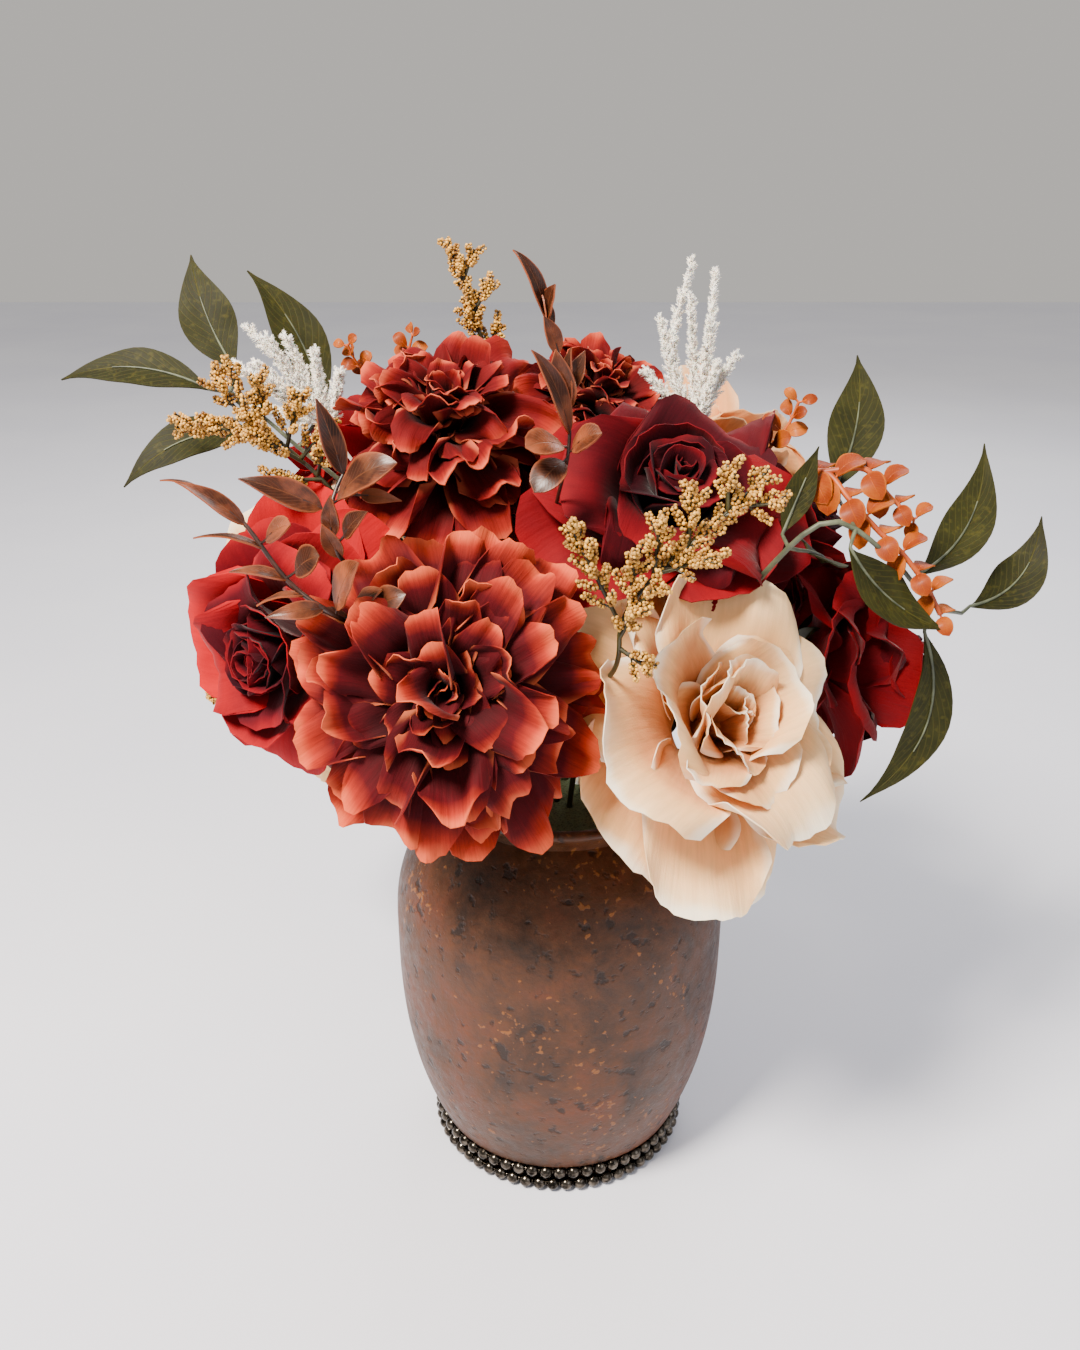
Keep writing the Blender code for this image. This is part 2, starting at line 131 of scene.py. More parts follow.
def carried_frames(path: Array) -> tuple[Array, Array, Array]:
    """Directions along a path, carried along it without twist.

    Args:
        path: The path's points.

    Returns:
        The tangent and two directions across it at each point.
    """
    tangents = unit(np.gradient(path, axis=0))
    side = np.cross(tangents[0], [0.31, 0.87, 0.38])  # any direction that no stem runs in
    sides = []
    for tangent in tangents:
        side = unit(side - tangent * (side @ tangent))
        sides.append(side)
    return tangents, np.array(sides), np.cross(tangents, np.array(sides))


# ---------------------------------------------------------------------------------------------
# Building meshes
# ---------------------------------------------------------------------------------------------


class Patchwork:
    """Gathers many small closed meshes into one object.

    Every point carries a mark of three numbers that the finish reads: how far along its own piece
    it is, how far across from -1 to 1, and the tint of its piece from 0 to 1.
    """

    MARK: ClassVar[str] = "mark"

    def __init__(self) -> None:
        """Starts empty."""
        self.points: list[Array] = []
        self.marks: list[Array] = []
        self.faces: list[Array] = []
        self.count = 0

    def add(self, points: Array, marks: Array, faces: Array) -> None:
        """Adds one mesh.

        Args:
            points: Its points.
            marks: Their marks.
            faces: Its quads, by point number. A triangle repeats its last corner.
        """
        self.points.append(points.reshape(-1, 3))
        self.marks.append(marks.reshape(-1, 3))
        self.faces.append(faces.reshape(-1, 4) + self.count)
        self.count += len(self.points[-1])

    def add_shell(self, grid: Array, marks: Array, thickness: float) -> None:
        """Adds a thin closed sheet over a grid of points.

        Args:
            grid: Points, by station along the sheet and column across it.
            marks: The points' marks, in the same order.
            thickness: The sheet's thickness.
        """
        rows, columns = grid.shape[:2]
        along, across = np.gradient(grid, axis=0), np.gradient(grid, axis=1)
        normal = unit(np.cross(across, along)) * thickness / 2
        index = np.arange(rows * columns).reshape(rows, columns)
        back = index + rows * columns
        top = np.stack([index[:-1, :-1], index[:-1, 1:], index[1:, 1:], index[1:, :-1]], -1)
        low = np.stack([back[:-1, :-1], back[1:, :-1], back[1:, 1:], back[:-1, 1:]], -1)
        rim = np.r_[index[0], index[1:, -1], index[-1, -2::-1], index[-2:0:-1, 0]]
        onward = np.roll(rim, -1)
        lower = rim + rows * columns
        wall = np.stack([rim, lower, np.roll(lower, -1), onward], -1)
        faces = np.vstack([top.reshape(-1, 4), low.reshape(-1, 4), wall])
        self.add(np.stack([grid + normal, grid - normal]), np.stack([marks, marks]), faces)

    def add_tube(self, path: Array, radii: Array | float, sides: int = 8, tint: float = 0.5) -> None:
        """Adds a closed round tube along a path.

        Args:
            path: The tube's centre line.
            radii: Its radius at each point, or one radius.
            sides: How many sides the tube has.
            tint: The tint that its finish reads.
        """
        radii = np.broadcast_to(np.asarray(radii, float), len(path))
        _, u, v = carried_frames(path)
        turn = np.linspace(0, 2 * math.pi, sides, endpoint=False)
        ring = np.cos(turn)[None, :, None] * u[:, None] + np.sin(turn)[None, :, None] * v[:, None]
        self.add_rings(path[:, None] + ring * radii[:, None, None], path[[0, -1]], tint)

    def add_rings(self, rings: Array, poles: Array, tint: float = 0.0) -> None:
        """Adds a closed skin over rings of points, shut at both ends.

        Args:
            rings: Points, by ring and place round it.
            poles: The middle points that shut the first and the last ring.
            tint: The tint that its finish reads.
        """
        count, sides = rings.shape[:2]
        index = np.arange(count * sides).reshape(count, sides)
        onward = np.roll(index, -1, axis=1)
        skin = np.stack([index[:-1], onward[:-1], onward[1:], index[1:]], -1).reshape(-1, 4)
        start, end = np.full(sides, index.size), np.full(sides, index.size + 1)
        caps = [(onward[0], index[0], start, start), (index[-1], onward[-1], end, end)]
        marks = np.zeros((index.size + 2, 3))
        marks[:-2, 0] = np.repeat(np.linspace(0, 1, count), sides)
        marks[-1, 0] = 1
        marks[:, 2] = tint
        faces = np.vstack([skin, *(np.stack(cap, -1) for cap in caps)])
        self.add(np.vstack([rings.reshape(-1, 3), poles]), marks, faces)

    def build(self, name: str, finish: bpy.types.Material) -> bpy.types.Object:
        """Makes the object.

        Args:
            name: Its name.
            finish: Its material.

        Returns:
            A smooth-shaded mesh object at the origin.
        """
        points = np.vstack(self.points)
        quads = [tuple(dict.fromkeys(face)) for face in np.vstack(self.faces).tolist()]
        mesh = bpy.data.meshes.new(name)
        mesh.from_pydata(points.tolist(), [], quads)
        marks = mesh.attributes.new(self.MARK, "FLOAT_VECTOR", "POINT")
        marks.data.foreach_set("vector", np.vstack(self.marks).astype(np.float32).ravel())
        mesh.materials.append(finish)
        mesh.shade_smooth()
        mesh.set_sharp_from_angle(angle=SHARP_EDGE)
        thing = bpy.data.objects.new(name, mesh)
        bpy.context.scene.collection.objects.link(thing)
        return thing


def deliver(piece: bpy.types.Object, slot: str, *nodes: str) -> None:
    """Lets a finished piece ride on the arrangement and reports it.

    Args:
        piece: The finished object.
        slot: The record's material slot. It is not used.
        nodes: The CAD nodes that it stands for.
    """
    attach(piece, "root")
    if nodes:
        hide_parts(*nodes)
    log.info("%s: %d faces", piece.name, len(piece.data.polygons))


# ---------------------------------------------------------------------------------------------
# Finishes
# ---------------------------------------------------------------------------------------------


def linear(colour: str) -> tuple[float, float, float, float]:
    """Linear colour of an sRGB hex value such as "#7b5241"."""
    parts = [int(colour[i:i + 2], 16) / 255 for i in (1, 3, 5)]
    return (*(c / 12.92 if c <= 0.04045 else ((c + 0.055) / 1.055) ** 2.4 for c in parts), 1.0)


def per_mm(size: float) -> float:
    """Scale of a pattern whose spots are about size millimetres apart."""
    return 1 / (size * MM)


def feed(tree: bpy.types.NodeTree, node: bpy.types.Node, inputs: dict) -> None:
    """Links or sets a node's inputs.

    Args:
        tree: The node tree.
        node: The node.
        inputs: What each input gets, by name or number: an output socket, a node whose first
            output is meant, or a value.
    """
    for key, value in inputs.items():
        if isinstance(value, bpy.types.Node):
            value = value.outputs[0]
        if isinstance(value, bpy.types.NodeSocket):
            tree.links.new(value, node.inputs[key])
        else:
            node.inputs[key].default_value = value


def add_node(tree: bpy.types.NodeTree, kind: str, inputs: dict | None = None, **settings) -> bpy.types.Node:
    """Adds a node.

    Args:
        tree: The node tree.
        kind: The node's type.
        inputs: What its inputs get, as feed takes them.
        settings: The node's own settings. stops sets a colour ramp's (place, hex colour) pairs.

    Returns:
        The node.
    """
    node = tree.nodes.new(kind)
    stops = settings.pop("stops", ())
    for name, value in settings.items():
        setattr(node, name, value)
    ramp = node.color_ramp.elements if stops else ()
    while len(ramp) < len(stops):
        ramp.new(1.0)
    for element, (place, colour) in zip(ramp, stops):
        element.position = place
        element.color = linear(colour)
    feed(tree, node, inputs or {})
    return node


class Finish:
    """A material made on first use. Its subclasses hold its colours and draw its nodes."""

    name: str

    def material(self) -> bpy.types.Material:
        """Makes the material, or finds it if it is already made.

        Returns:
            The material.
        """
        made = bpy.data.materials.get(self.name)
        if made is None:
            made = bpy.data.materials.new(self.name)
            made.use_nodes = True
            self.draw(made.node_tree, made.node_tree.nodes["Principled BSDF"])
        return made

    def draw(self, tree: bpy.types.NodeTree, shader: bpy.types.Node) -> None:
        """Adds the finish's nodes in front of the shader."""
        raise NotImplementedError


@dataclass(frozen=True)
class PetalCloth(Finish):
    """Heat-set polyester petal cloth, dyed by airbrush from the heart to the rim.

    The dye pools in the pressed veins, the cut edge frays a little paler, and a fine weave and a
    slight sheen give it away as cloth. spread is how far a petal's own rim goes towards the rim
    dye, reach how far the head's outer petals do, and glow the light that comes through.
    """

    name: str
    heart: str
    body: str
    rim: str
    fringe: str
    spread: float = 0.55
    reach: float = 0.45
    fringe_share: float = 0.7
    vein_depth: float = 0.25
    sheen: float = 0.2
    glow: float = 0.12

    def draw(self, tree: bpy.types.NodeTree, shader: bpy.types.Node) -> None:
        """Adds the dye, the veins, the frayed edge and the weave.

        Args:
            tree: The material's node tree.
            shader: Its Principled BSDF.
        """
        node = partial(add_node, tree)
        mark = node("ShaderNodeAttribute", attribute_name=Patchwork.MARK).outputs["Vector"]
        along, across, own_tint = node("ShaderNodeSeparateXYZ", {0: mark}).outputs
        place = node("ShaderNodeTexCoord").outputs["Object"]
        cloud = node("ShaderNodeTexNoise", {"Vector": place, "Scale": per_mm(14.3), "Detail": 3.0})
        aside = node("ShaderNodeMath", {0: across}, operation="ABSOLUTE")
        edge = node("ShaderNodeMath", {0: aside, 1: along}, operation="MAXIMUM")
        rimward = node("ShaderNodeMath", {0: edge, 1: 5.0}, operation="POWER")
        outward = node("ShaderNodeMath", {0: along, 1: 2.0}, operation="POWER")
        both = node("ShaderNodeMath", {0: rimward, 1: outward})
        share = node("ShaderNodeMath", {0: both, 1: self.spread / 2}, operation="MULTIPLY")
        tint = node("ShaderNodeMath", {0: own_tint, 1: self.reach, 2: share}, operation="MULTIPLY_ADD")
        drift = node("ShaderNodeMath", {0: cloud, 1: 0.34, 2: -0.17}, operation="MULTIPLY_ADD")
        sprayed = node("ShaderNodeMath", {0: tint, 1: drift})
        dye = node("ShaderNodeValToRGB", {0: sprayed},
                   stops=[(0.08, self.heart), (0.48, self.body), (0.9, self.rim)])
        stretch = node("ShaderNodeVectorMath", {0: mark, 1: (1.6, 9.0, 37.0)}, operation="MULTIPLY")
        veins = node("ShaderNodeTexNoise",
                     {"Vector": stretch, "Scale": 1.6, "Detail": 4.0, "Roughness": 0.62})
        pooled = node("ShaderNodeMapRange", {"Value": veins, "From Min": 0.38, "From Max": 0.62,
                                             "To Min": 1 - self.vein_depth, "To Max": 1.0})
        shaded = node("ShaderNodeMix", {"Factor": 1.0, 6: dye, 7: pooled}, data_type="RGBA",
                      blend_type="MULTIPLY")
        frayed = node("ShaderNodeMath", {0: drift, 1: 0.5, 2: edge}, operation="MULTIPLY_ADD")
        fringe = node("ShaderNodeMapRange",
                      {"Value": frayed, "From Min": 0.88, "From Max": 1.0, "To Max": self.fringe_share},
                      interpolation_type="SMOOTHSTEP")
        colour = node("ShaderNodeMix", {"Factor": fringe, 6: shaded.outputs[2], 7: linear(self.fringe)},
                      data_type="RGBA")
        # Real threads lie 0.2 mm apart, too fine to show, so the weave is drawn three times as coarse.
        weave = node("ShaderNodeTexNoise", {"Vector": place, "Scale": per_mm(0.667), "Detail": 2.0})
        height = node("ShaderNodeMath", {0: weave, 1: 0.22, 2: veins}, operation="MULTIPLY_ADD")
        bump = node("ShaderNodeBump", {"Height": height, "Strength": 0.5, "Distance": 0.6 * MM})
        feed(tree, shader, {
            "Base Color": colour.outputs[2], "Normal": bump, "Roughness": 0.75, "Specular IOR Level": 0.12,
            "Sheen Weight": self.sheen, "Sheen Roughness": 0.4, "Subsurface Weight": self.glow,
            "Subsurface Radius": (1.0, 0.5, 0.3), "Subsurface Scale": 2 * MM,
        })


@dataclass(frozen=True)
class PrintedLeaf(Finish):
    """Polyethylene-coated leaf with a printed surface.

    Darker and lighter clouds, a pale pressed midrib with slanting veins, pale flecks, and a rim of
    its own colour make it look grown. coat is a clear gloss for the waxy moulded leaves, fleck the
    distance between flecks in millimetres, and rim_start where the rim begins.
    """

    name: str
    deep: str
    body: str
    pale: str
    rim: str
    roughness: float = 0.55
    coat: float = 0.0
    fleck: float = 3.85
    rim_start: float = 0.86

    def draw(self, tree: bpy.types.NodeTree, shader: bpy.types.Node) -> None:
        """Adds the clouds, veins, flecks and rim.

        Args:
            tree: The material's node tree.
            shader: Its Principled BSDF.
        """
        node = partial(add_node, tree)
        mark = node("ShaderNodeAttribute", attribute_name=Patchwork.MARK).outputs["Vector"]
        along, across, own_tint = node("ShaderNodeSeparateXYZ", {0: mark}).outputs
        place = node("ShaderNodeTexCoord").outputs["Object"]
        aside = node("ShaderNodeMath", {0: across}, operation="ABSOLUTE")
        cloud = node("ShaderNodeTexNoise", {"Vector": place, "Scale": per_mm(11.1), "Detail": 5.0})
        tint = node("ShaderNodeMath", {0: own_tint, 1: 0.5, 2: cloud}, operation="MULTIPLY_ADD")
        base = node("ShaderNodeValToRGB", {0: tint},
                    stops=[(0.42, self.deep), (0.70, self.body), (0.98, self.rim)])
        slant = node("ShaderNodeMath", {0: aside, 1: -0.32, 2: along}, operation="MULTIPLY_ADD")
        waves = node("ShaderNodeMath", {0: slant, 1: 70.0}, operation="MULTIPLY")
        ribs = node("ShaderNodeMath", {0: waves}, operation="SINE")
        vein = node("ShaderNodeMapRange", {"Value": ribs, "From Min": 0.72, "From Max": 1.0, "To Max": 0.28})
        midrib = node("ShaderNodeMapRange",
                      {"Value": aside, "From Min": 0.07, "From Max": 0.0, "To Max": 0.75})
        lines = node("ShaderNodeMath", {0: vein, 1: midrib}, operation="MAXIMUM")
        freckles = node("ShaderNodeTexNoise", {"Vector": place, "Scale": per_mm(self.fleck), "Detail": 2.0})
        flecks = node("ShaderNodeMapRange",
                      {"Value": freckles, "From Min": 0.55, "From Max": 0.72, "To Max": 0.45})
        light = node("ShaderNodeMath", {0: lines, 1: flecks}, operation="MAXIMUM")
        veined = node("ShaderNodeMix", {"Factor": light, 6: base, 7: linear(self.pale)}, data_type="RGBA")
        edge = node("ShaderNodeMapRange",
                    {"Value": aside, "From Min": self.rim_start, "From Max": 1.0, "To Max": 0.8})
        colour = node("ShaderNodeMix", {"Factor": edge, 6: veined.outputs[2], 7: linear(self.rim)},
                      data_type="RGBA")
        relief = node("ShaderNodeMath", {0: lines, 1: -0.6, 2: cloud}, operation="MULTIPLY_ADD")
        bump = node("ShaderNodeBump", {"Height": relief, "Strength": 0.6, "Distance": 0.4 * MM})
        feed(tree, shader, {
            "Base Color": colour.outputs[2], "Normal": bump, "Roughness": self.roughness,
            "Specular IOR Level": 0.15, "Coat Weight": self.coat, "Coat Roughness": 0.25,
            "Subsurface Weight": 0.05, "Subsurface Scale": 2 * MM,
        })


@dataclass(frozen=True)
class MouldedPlastic(Finish):
    """Moulded or coated polyethylene, a soft even shine over pigment that varies from spot to spot.

    spot is the distance between its spots in millimetres.
    """

    name: str
    dark: str
    light: str
    roughness: float = 0.5
    spot: float = 5.56
    sheen: float = 0.0
    glow: float = 0.0

    def draw(self, tree: bpy.types.NodeTree, shader: bpy.types.Node) -> None:
        """Adds the spots and a slight unevenness.

        Args:
            tree: The material's node tree.
            shader: Its Principled BSDF.
        """
        node = partial(add_node, tree)
        place = node("ShaderNodeTexCoord").outputs["Object"]
        cloud = node("ShaderNodeTexNoise", {"Vector": place, "Scale": per_mm(self.spot), "Detail": 4.0})
        colour = node("ShaderNodeValToRGB", {0: cloud}, stops=[(0.36, self.dark), (0.66, self.light)])
        bump = node("ShaderNodeBump", {"Height": cloud, "Strength": 0.3, "Distance": 0.3 * MM})
        feed(tree, shader, {
            "Base Color": colour, "Normal": bump, "Roughness": self.roughness, "Sheen Weight": self.sheen,
            "Subsurface Weight": self.glow, "Subsurface Scale": 2 * MM,
        })


@dataclass(frozen=True)
class RustGlaze(Finish):
    """Reactive glaze over rough earthenware: umber under rusty red clouds, with small pits and
    gold-orange flecks a few millimetres across where the glaze broke, and a soft satin shine."""

    name: str = "rust_reactive_glaze"
    umber: str = "#2a190d"
    brown: str = "#472812"
    rust: str = "#562b14"
    gold: str = "#8a5424"
    pit: str = "#150b06"

    def draw(self, tree: bpy.types.NodeTree, shader: bpy.types.Node) -> None:
        """Adds the clouds, grit, flecks and pits.

        Args:
            tree: The material's node tree.
            shader: Its Principled BSDF.
        """
        node = partial(add_node, tree)
        place = node("ShaderNodeTexCoord").outputs["Object"]
        clouds = node("ShaderNodeTexNoise", {"Vector": place, "Scale": per_mm(33.3), "Detail": 7.0,
                                             "Roughness": 0.68, "Distortion": 0.4})
        base = node("ShaderNodeValToRGB", {0: clouds},
                    stops=[(0.34, self.umber), (0.50, self.brown), (0.66, self.rust)])
        grit = node("ShaderNodeTexNoise",
                    {"Vector": place, "Scale": per_mm(4.76), "Detail": 5.0, "Roughness": 0.7})
        speckled = node("ShaderNodeMapRange", {"Value": grit, "From Min": 0.3, "From Max": 0.7,
                                               "To Min": 0.66, "To Max": 1.25})
        toned = node("ShaderNodeMix", {"Factor": 1.0, 6: base, 7: speckled}, data_type="RGBA",
                     blend_type="MULTIPLY")
        drops = node("ShaderNodeTexNoise",
                     {"Vector": place, "Scale": per_mm(3.03), "Detail": 2.0, "Roughness": 0.45})
        patchy = node("ShaderNodeTexNoise", {"Vector": place, "Scale": per_mm(45.5), "Detail": 2.0})
        broken = node("ShaderNodeMath", {0: patchy, 1: 0.55, 2: drops}, operation="MULTIPLY_ADD")
        fleck = node("ShaderNodeMapRange",
                     {"Value": broken, "From Min": 0.965, "From Max": 1.02, "To Max": 0.6})
        flecked = node("ShaderNodeMix", {"Factor": fleck, 6: toned.outputs[2], 7: linear(self.gold)},
                       data_type="RGBA")
        holes = node("ShaderNodeTexNoise", {"Vector": place, "Scale": per_mm(6.06), "Detail": 3.0})
        pit = node("ShaderNodeMapRange", {"Value": holes, "From Min": 0.40, "From Max": 0.32, "To Max": 0.8})
        colour = node("ShaderNodeMix", {"Factor": pit, 6: flecked.outputs[2], 7: linear(self.pit)},
                      data_type="RGBA")
        relief = node("ShaderNodeMath", {0: pit, 1: -0.9, 2: grit}, operation="MULTIPLY_ADD")
        raised = node("ShaderNodeMath", {0: fleck, 1: 0.5, 2: relief}, operation="MULTIPLY_ADD")
        bump = node("ShaderNodeBump", {"Height": raised, "Strength": 0.55, "Distance": 0.7 * MM})
        gloss = node("ShaderNodeMapRange", {"Value": grit, "From Min": 0.3, "From Max": 0.7,
                                            "To Min": 0.34, "To Max": 0.6})
        feed(tree, shader, {"Base Color": colour.outputs[2], "Normal": bump, "Roughness": gloss,
                            "Specular IOR Level": 0.3})


@dataclass(frozen=True)
class Pewter(Finish):
    """Cast pewter-coloured beads in random dark and bright patches, the dark partly painted shade."""

    name: str = "dark_cast_pewter"
    dark: str = "#14110e"
    bright: str = "#6a6258"

    def draw(self, tree: bpy.types.NodeTree, shader: bpy.types.Node) -> None:
        """Adds the dark and the bright patches, the dark partly painted shade.

        Args:
            tree: The material's node tree.
            shader: Its Principled BSDF.
        """
        node = partial(add_node, tree)
        place = node("ShaderNodeTexCoord").outputs["Object"]
        patchy_tone_and_shade = node("ShaderNodeTexNoise", {"Vector": place, "Scale": per_mm(2.38), "Detail": 3.0})
        # Random patches; the dark stop is partly painted shade for the string that lies in shadow.
        colour = node("ShaderNodeValToRGB", {0: patchy_tone_and_shade}, stops=[(0.35, self.dark), (0.68, self.bright)])
        rough = node("ShaderNodeMapRange", {"Value": patchy_tone_and_shade, "From Min": 0.3, "From Max": 0.7,
                                            "To Min": 0.28, "To Max": 0.14})
        feed(tree, shader, {"Base Color": colour, "Roughness": rough, "Metallic": 1.0})


@dataclass(frozen=True)
class DryFoam(Finish):
    """Dry floral foam: dull green phenolic foam full of open cells about a millimetre wide."""

    name: str = "dry_floral_foam"
    light: str = "#5d6b4c"
    dark: str = "#39442e"

    def draw(self, tree: bpy.types.NodeTree, shader: bpy.types.Node) -> None:
        """Adds the cells.

        Args:
            tree: The material's node tree.
            shader: Its Principled BSDF.
        """
        node = partial(add_node, tree)
        place = node("ShaderNodeTexCoord").outputs["Object"]
        cells = node("ShaderNodeTexVoronoi", {"Vector": place, "Scale": per_mm(1.11)})
        colour = node("ShaderNodeValToRGB", {0: cells}, stops=[(0.1, self.dark), (0.5, self.light)])
        bump = node("ShaderNodeBump", {"Height": cells, "Strength": 0.8, "Distance": 0.5 * MM})
        feed(tree, shader, {"Base Color": colour, "Normal": bump, "Roughness": 0.95})


# Burgundy hearts that run through rust red to orange tips, with almost no shine.
DAHLIA_CLOTH = PetalCloth(
    "dahlia_cloth", "#100105", "#4c050d", "#c0341d", "#ee8250",
    spread=0.86, reach=0.15, fringe_share=0.3, sheen=0.03, glow=0.04,
)
# The upper dahlias are a browner red with duller tips.
DAHLIA_TOP_CLOTH = PetalCloth(
    "dahlia_top_cloth", "#180204", "#68080c", "#c03420", "#e47a54",
    spread=0.80, reach=0.15, fringe_share=0.35, sheen=0.03, glow=0.04,
)
# Velvety red that darkens only in the heart.
ROSE_CLOTH = PetalCloth(
    "rose_cloth", "#20020c", "#4c0310", "#ae0412", "#b80c18",
    spread=0.22, reach=0.74, fringe_share=0.3, vein_depth=0.10, sheen=0.06, glow=0.04,
)
# The same velvety cloth made darker, as painted shade for the centre, right and behind roses.
ROSE_SHADED_CLOTH = PetalCloth(
    "rose_painted_shade_cloth", "#1a020a", "#3c020c", "#7c020e", "#8a0612",
    spread=0.26, reach=0.68, fringe_share=0.3, vein_depth=0.10, sheen=0.06, glow=0.04,
)
# Thin cream cloth with a peach heart, which lets light through.
PEONY_CLOTH = PetalCloth(
    "peony_cloth", "#b06430", "#efb67c", "#fbd8ac", "#fff3e0",
    spread=0.6, reach=0.35, fringe_share=0.6, vein_depth=0.10, sheen=0.05, glow=0.25,
)
# The same thin cloth in peach.
PEACH_CLOTH = PetalCloth(
    "peony_peach_cloth", "#a85424", "#e69a5e", "#f2b880", "#fad8b4",
    spread=0.6, reach=0.35, fringe_share=0.5, vein_depth=0.12, sheen=0.05, glow=0.15,
)
# Dull olive leaf cloth with fine pale veins.
WILLOW_LEAF = PrintedLeaf(
    "willow_printed_cloth", "#121306", "#1d1e05", "#464214", "#28280a", roughness=0.62, fleck=2.38,
)
# Waxy moulded leaves in dark bronze brown, lighter at the rim.
BRONZE_LEAF = PrintedLeaf(
    "bronze_moulded_leaf", "#180a05", "#35180c", "#60361e", "#86462a",
    roughness=0.36, coat=0.2, fleck=7.14, rim_start=0.82,
)
# Moulded leaves in coral orange, with hardly any gloss.
CORAL_LEAF = PrintedLeaf(
    "coral_moulded_leaf", "#5a1802", "#7c2e02", "#9c4406", "#aa5a10", coat=0.05, fleck=5.0,
)
# Coated wires, each a little darker or lighter from spot to spot.
WIRE_GREEN = MouldedPlastic("coated_wire_green", "#1c220c", "#343c1a")
WIRE_GREY = MouldedPlastic("coated_wire_grey_green", "#343a2a", "#5a6048")
WIRE_OLIVE = MouldedPlastic("coated_wire_olive", "#181504", "#34300c")
WIRE_BRONZE = MouldedPlastic("coated_wire_bronze", "#1c0c06", "#3c1c10", 0.4)
WIRE_CORAL = MouldedPlastic("coated_wire_coral", "#8c3404", "#bc5408", 0.5)
# Old-gold berries in random brown to pale patches, partly painted shade and painted highlight.
BERRY_GOLD = MouldedPlastic("gold_moulded_berry", "#744604", "#f0b850", 0.5, 2.38)
# Chalk-white flock, quite dull, which lets a little light through.
PLUME_WHITE = MouldedPlastic("flocked_plume", "#fff2e0", "#fffbf2", 0.95, 3.33, 0.3, 0.2)


# ---------------------------------------------------------------------------------------------
# Blooms
# ---------------------------------------------------------------------------------------------


@dataclass(frozen=True)
class PetalRow:
    """One ring of cloth petals, with sizes in centimetres for a head of the standard size.

    lean is the petal's angle from the bloom's axis at its root and at its tip, in degrees, and curl
    is how much further its outer half turns back. cup is the radius that it is pressed to across.
    narrow is its width at the root as a share of the whole, and tip how much shorter its sides are
    than its middle. roll turns its edges back, and scatter and twist are the spread of its lean and
    of its turn, in degrees.
    """

    count: int
    length: float
    half_width: float
    root: tuple[float, float]
    lean: tuple[float, float]
    cup: float
    tint: float
    curl: float = 0.0
    ruffle: float = 0.06
    narrow: float = 0.35
    tip: float = 0.45
    roll: float = 0.0
    scatter: float = 6.0
    twist: float = 8.0


@dataclass(frozen=True)
class HeadShape:
    """The standard head of a kind, in centimetres, and how finely its petals are divided.

    flare is how much a petal's cup opens towards its tip.
    """

    diameter: float
    depth: float
    stations: int
    columns: int
    flare: float


class Kind(Enum):
    """The kinds of bloom."""

    DAHLIA = HeadShape(10.4, 4.4, 15, 13, 1.90)
    ROSE = HeadShape(8.0, 4.6, 16, 15, 0.80)
    PEONY = HeadShape(10.0, 4.8, 18, 21, 2.20)


DAHLIA_ROWS = (
    PetalRow(5, 1.6, 0.50, (0.15, 1.8), (0, 12), 0.34, 0.00, 10, 0.05, scatter=8, twist=18),
    PetalRow(8, 2.0, 0.72, (0.30, 1.7), (8, 28), 0.42, 0.05, 35, 0.08, roll=0.06, scatter=12, twist=24),
    PetalRow(11, 2.6, 0.86, (0.45, 1.6), (20, 44), 0.48, 0.20, 40, 0.11, roll=0.12, scatter=14, twist=26),
    PetalRow(12, 3.2, 0.96, (0.55, 1.5), (34, 58), 0.54, 0.40, 40, 0.14, roll=0.16, scatter=14, twist=26),
    PetalRow(13, 3.7, 1.04, (0.60, 1.4), (48, 70), 0.60, 0.60, 40, 0.16, roll=0.20, scatter=14, twist=26),
    PetalRow(13, 4.1, 1.10, (0.60, 1.2), (62, 82), 0.68, 0.75, 35, 0.18, roll=0.22, scatter=13, twist=24),
    PetalRow(13, 4.4, 1.16, (0.60, 1.0), (76, 92), 0.76, 0.90, 25, 0.19, roll=0.22, scatter=12, twist=22),
    PetalRow(12, 4.4, 1.18, (0.55, 0.7), (90, 110), 0.9, 1.00, 15, 0.18, roll=0.18, scatter=10, twist=18),
)
POMPOM_ROWS = (
    PetalRow(6, 1.6, 0.54, (0.12, 3.0), (0, 18), 0.36, 0.10, 20, 0.07, scatter=14, twist=26),
    PetalRow(9, 2.1, 0.70, (0.35, 2.8), (16, 38), 0.44, 0.25, 35, 0.10, roll=0.10, scatter=16, twist=30),
    PetalRow(11, 2.6, 0.82, (0.50, 2.6), (30, 54), 0.50, 0.40, 40, 0.12, roll=0.16, scatter=17, twist=32),
    PetalRow(13, 3.1, 0.92, (0.60, 2.3), (44, 66), 0.56, 0.55, 45, 0.14, roll=0.20, scatter=17, twist=32),
    PetalRow(14, 3.6, 1.00, (0.60, 2.0), (58, 80), 0.64, 0.70, 45, 0.16, roll=0.22, scatter=17, twist=30),
    PetalRow(15, 4.0, 1.06, (0.60, 1.6), (72, 94), 0.72, 0.80, 40, 0.16, roll=0.22, scatter=16, twist=28),
    PetalRow(15, 4.3, 1.10, (0.60, 1.2), (88, 110), 0.80, 0.90, 30, 0.16, roll=0.20, scatter=15, twist=26),
    PetalRow(13, 4.3, 1.12, (0.60, 0.8), (104, 128), 0.9, 1.00, 20, 0.15, roll=0.16, scatter=12, twist=22),
)
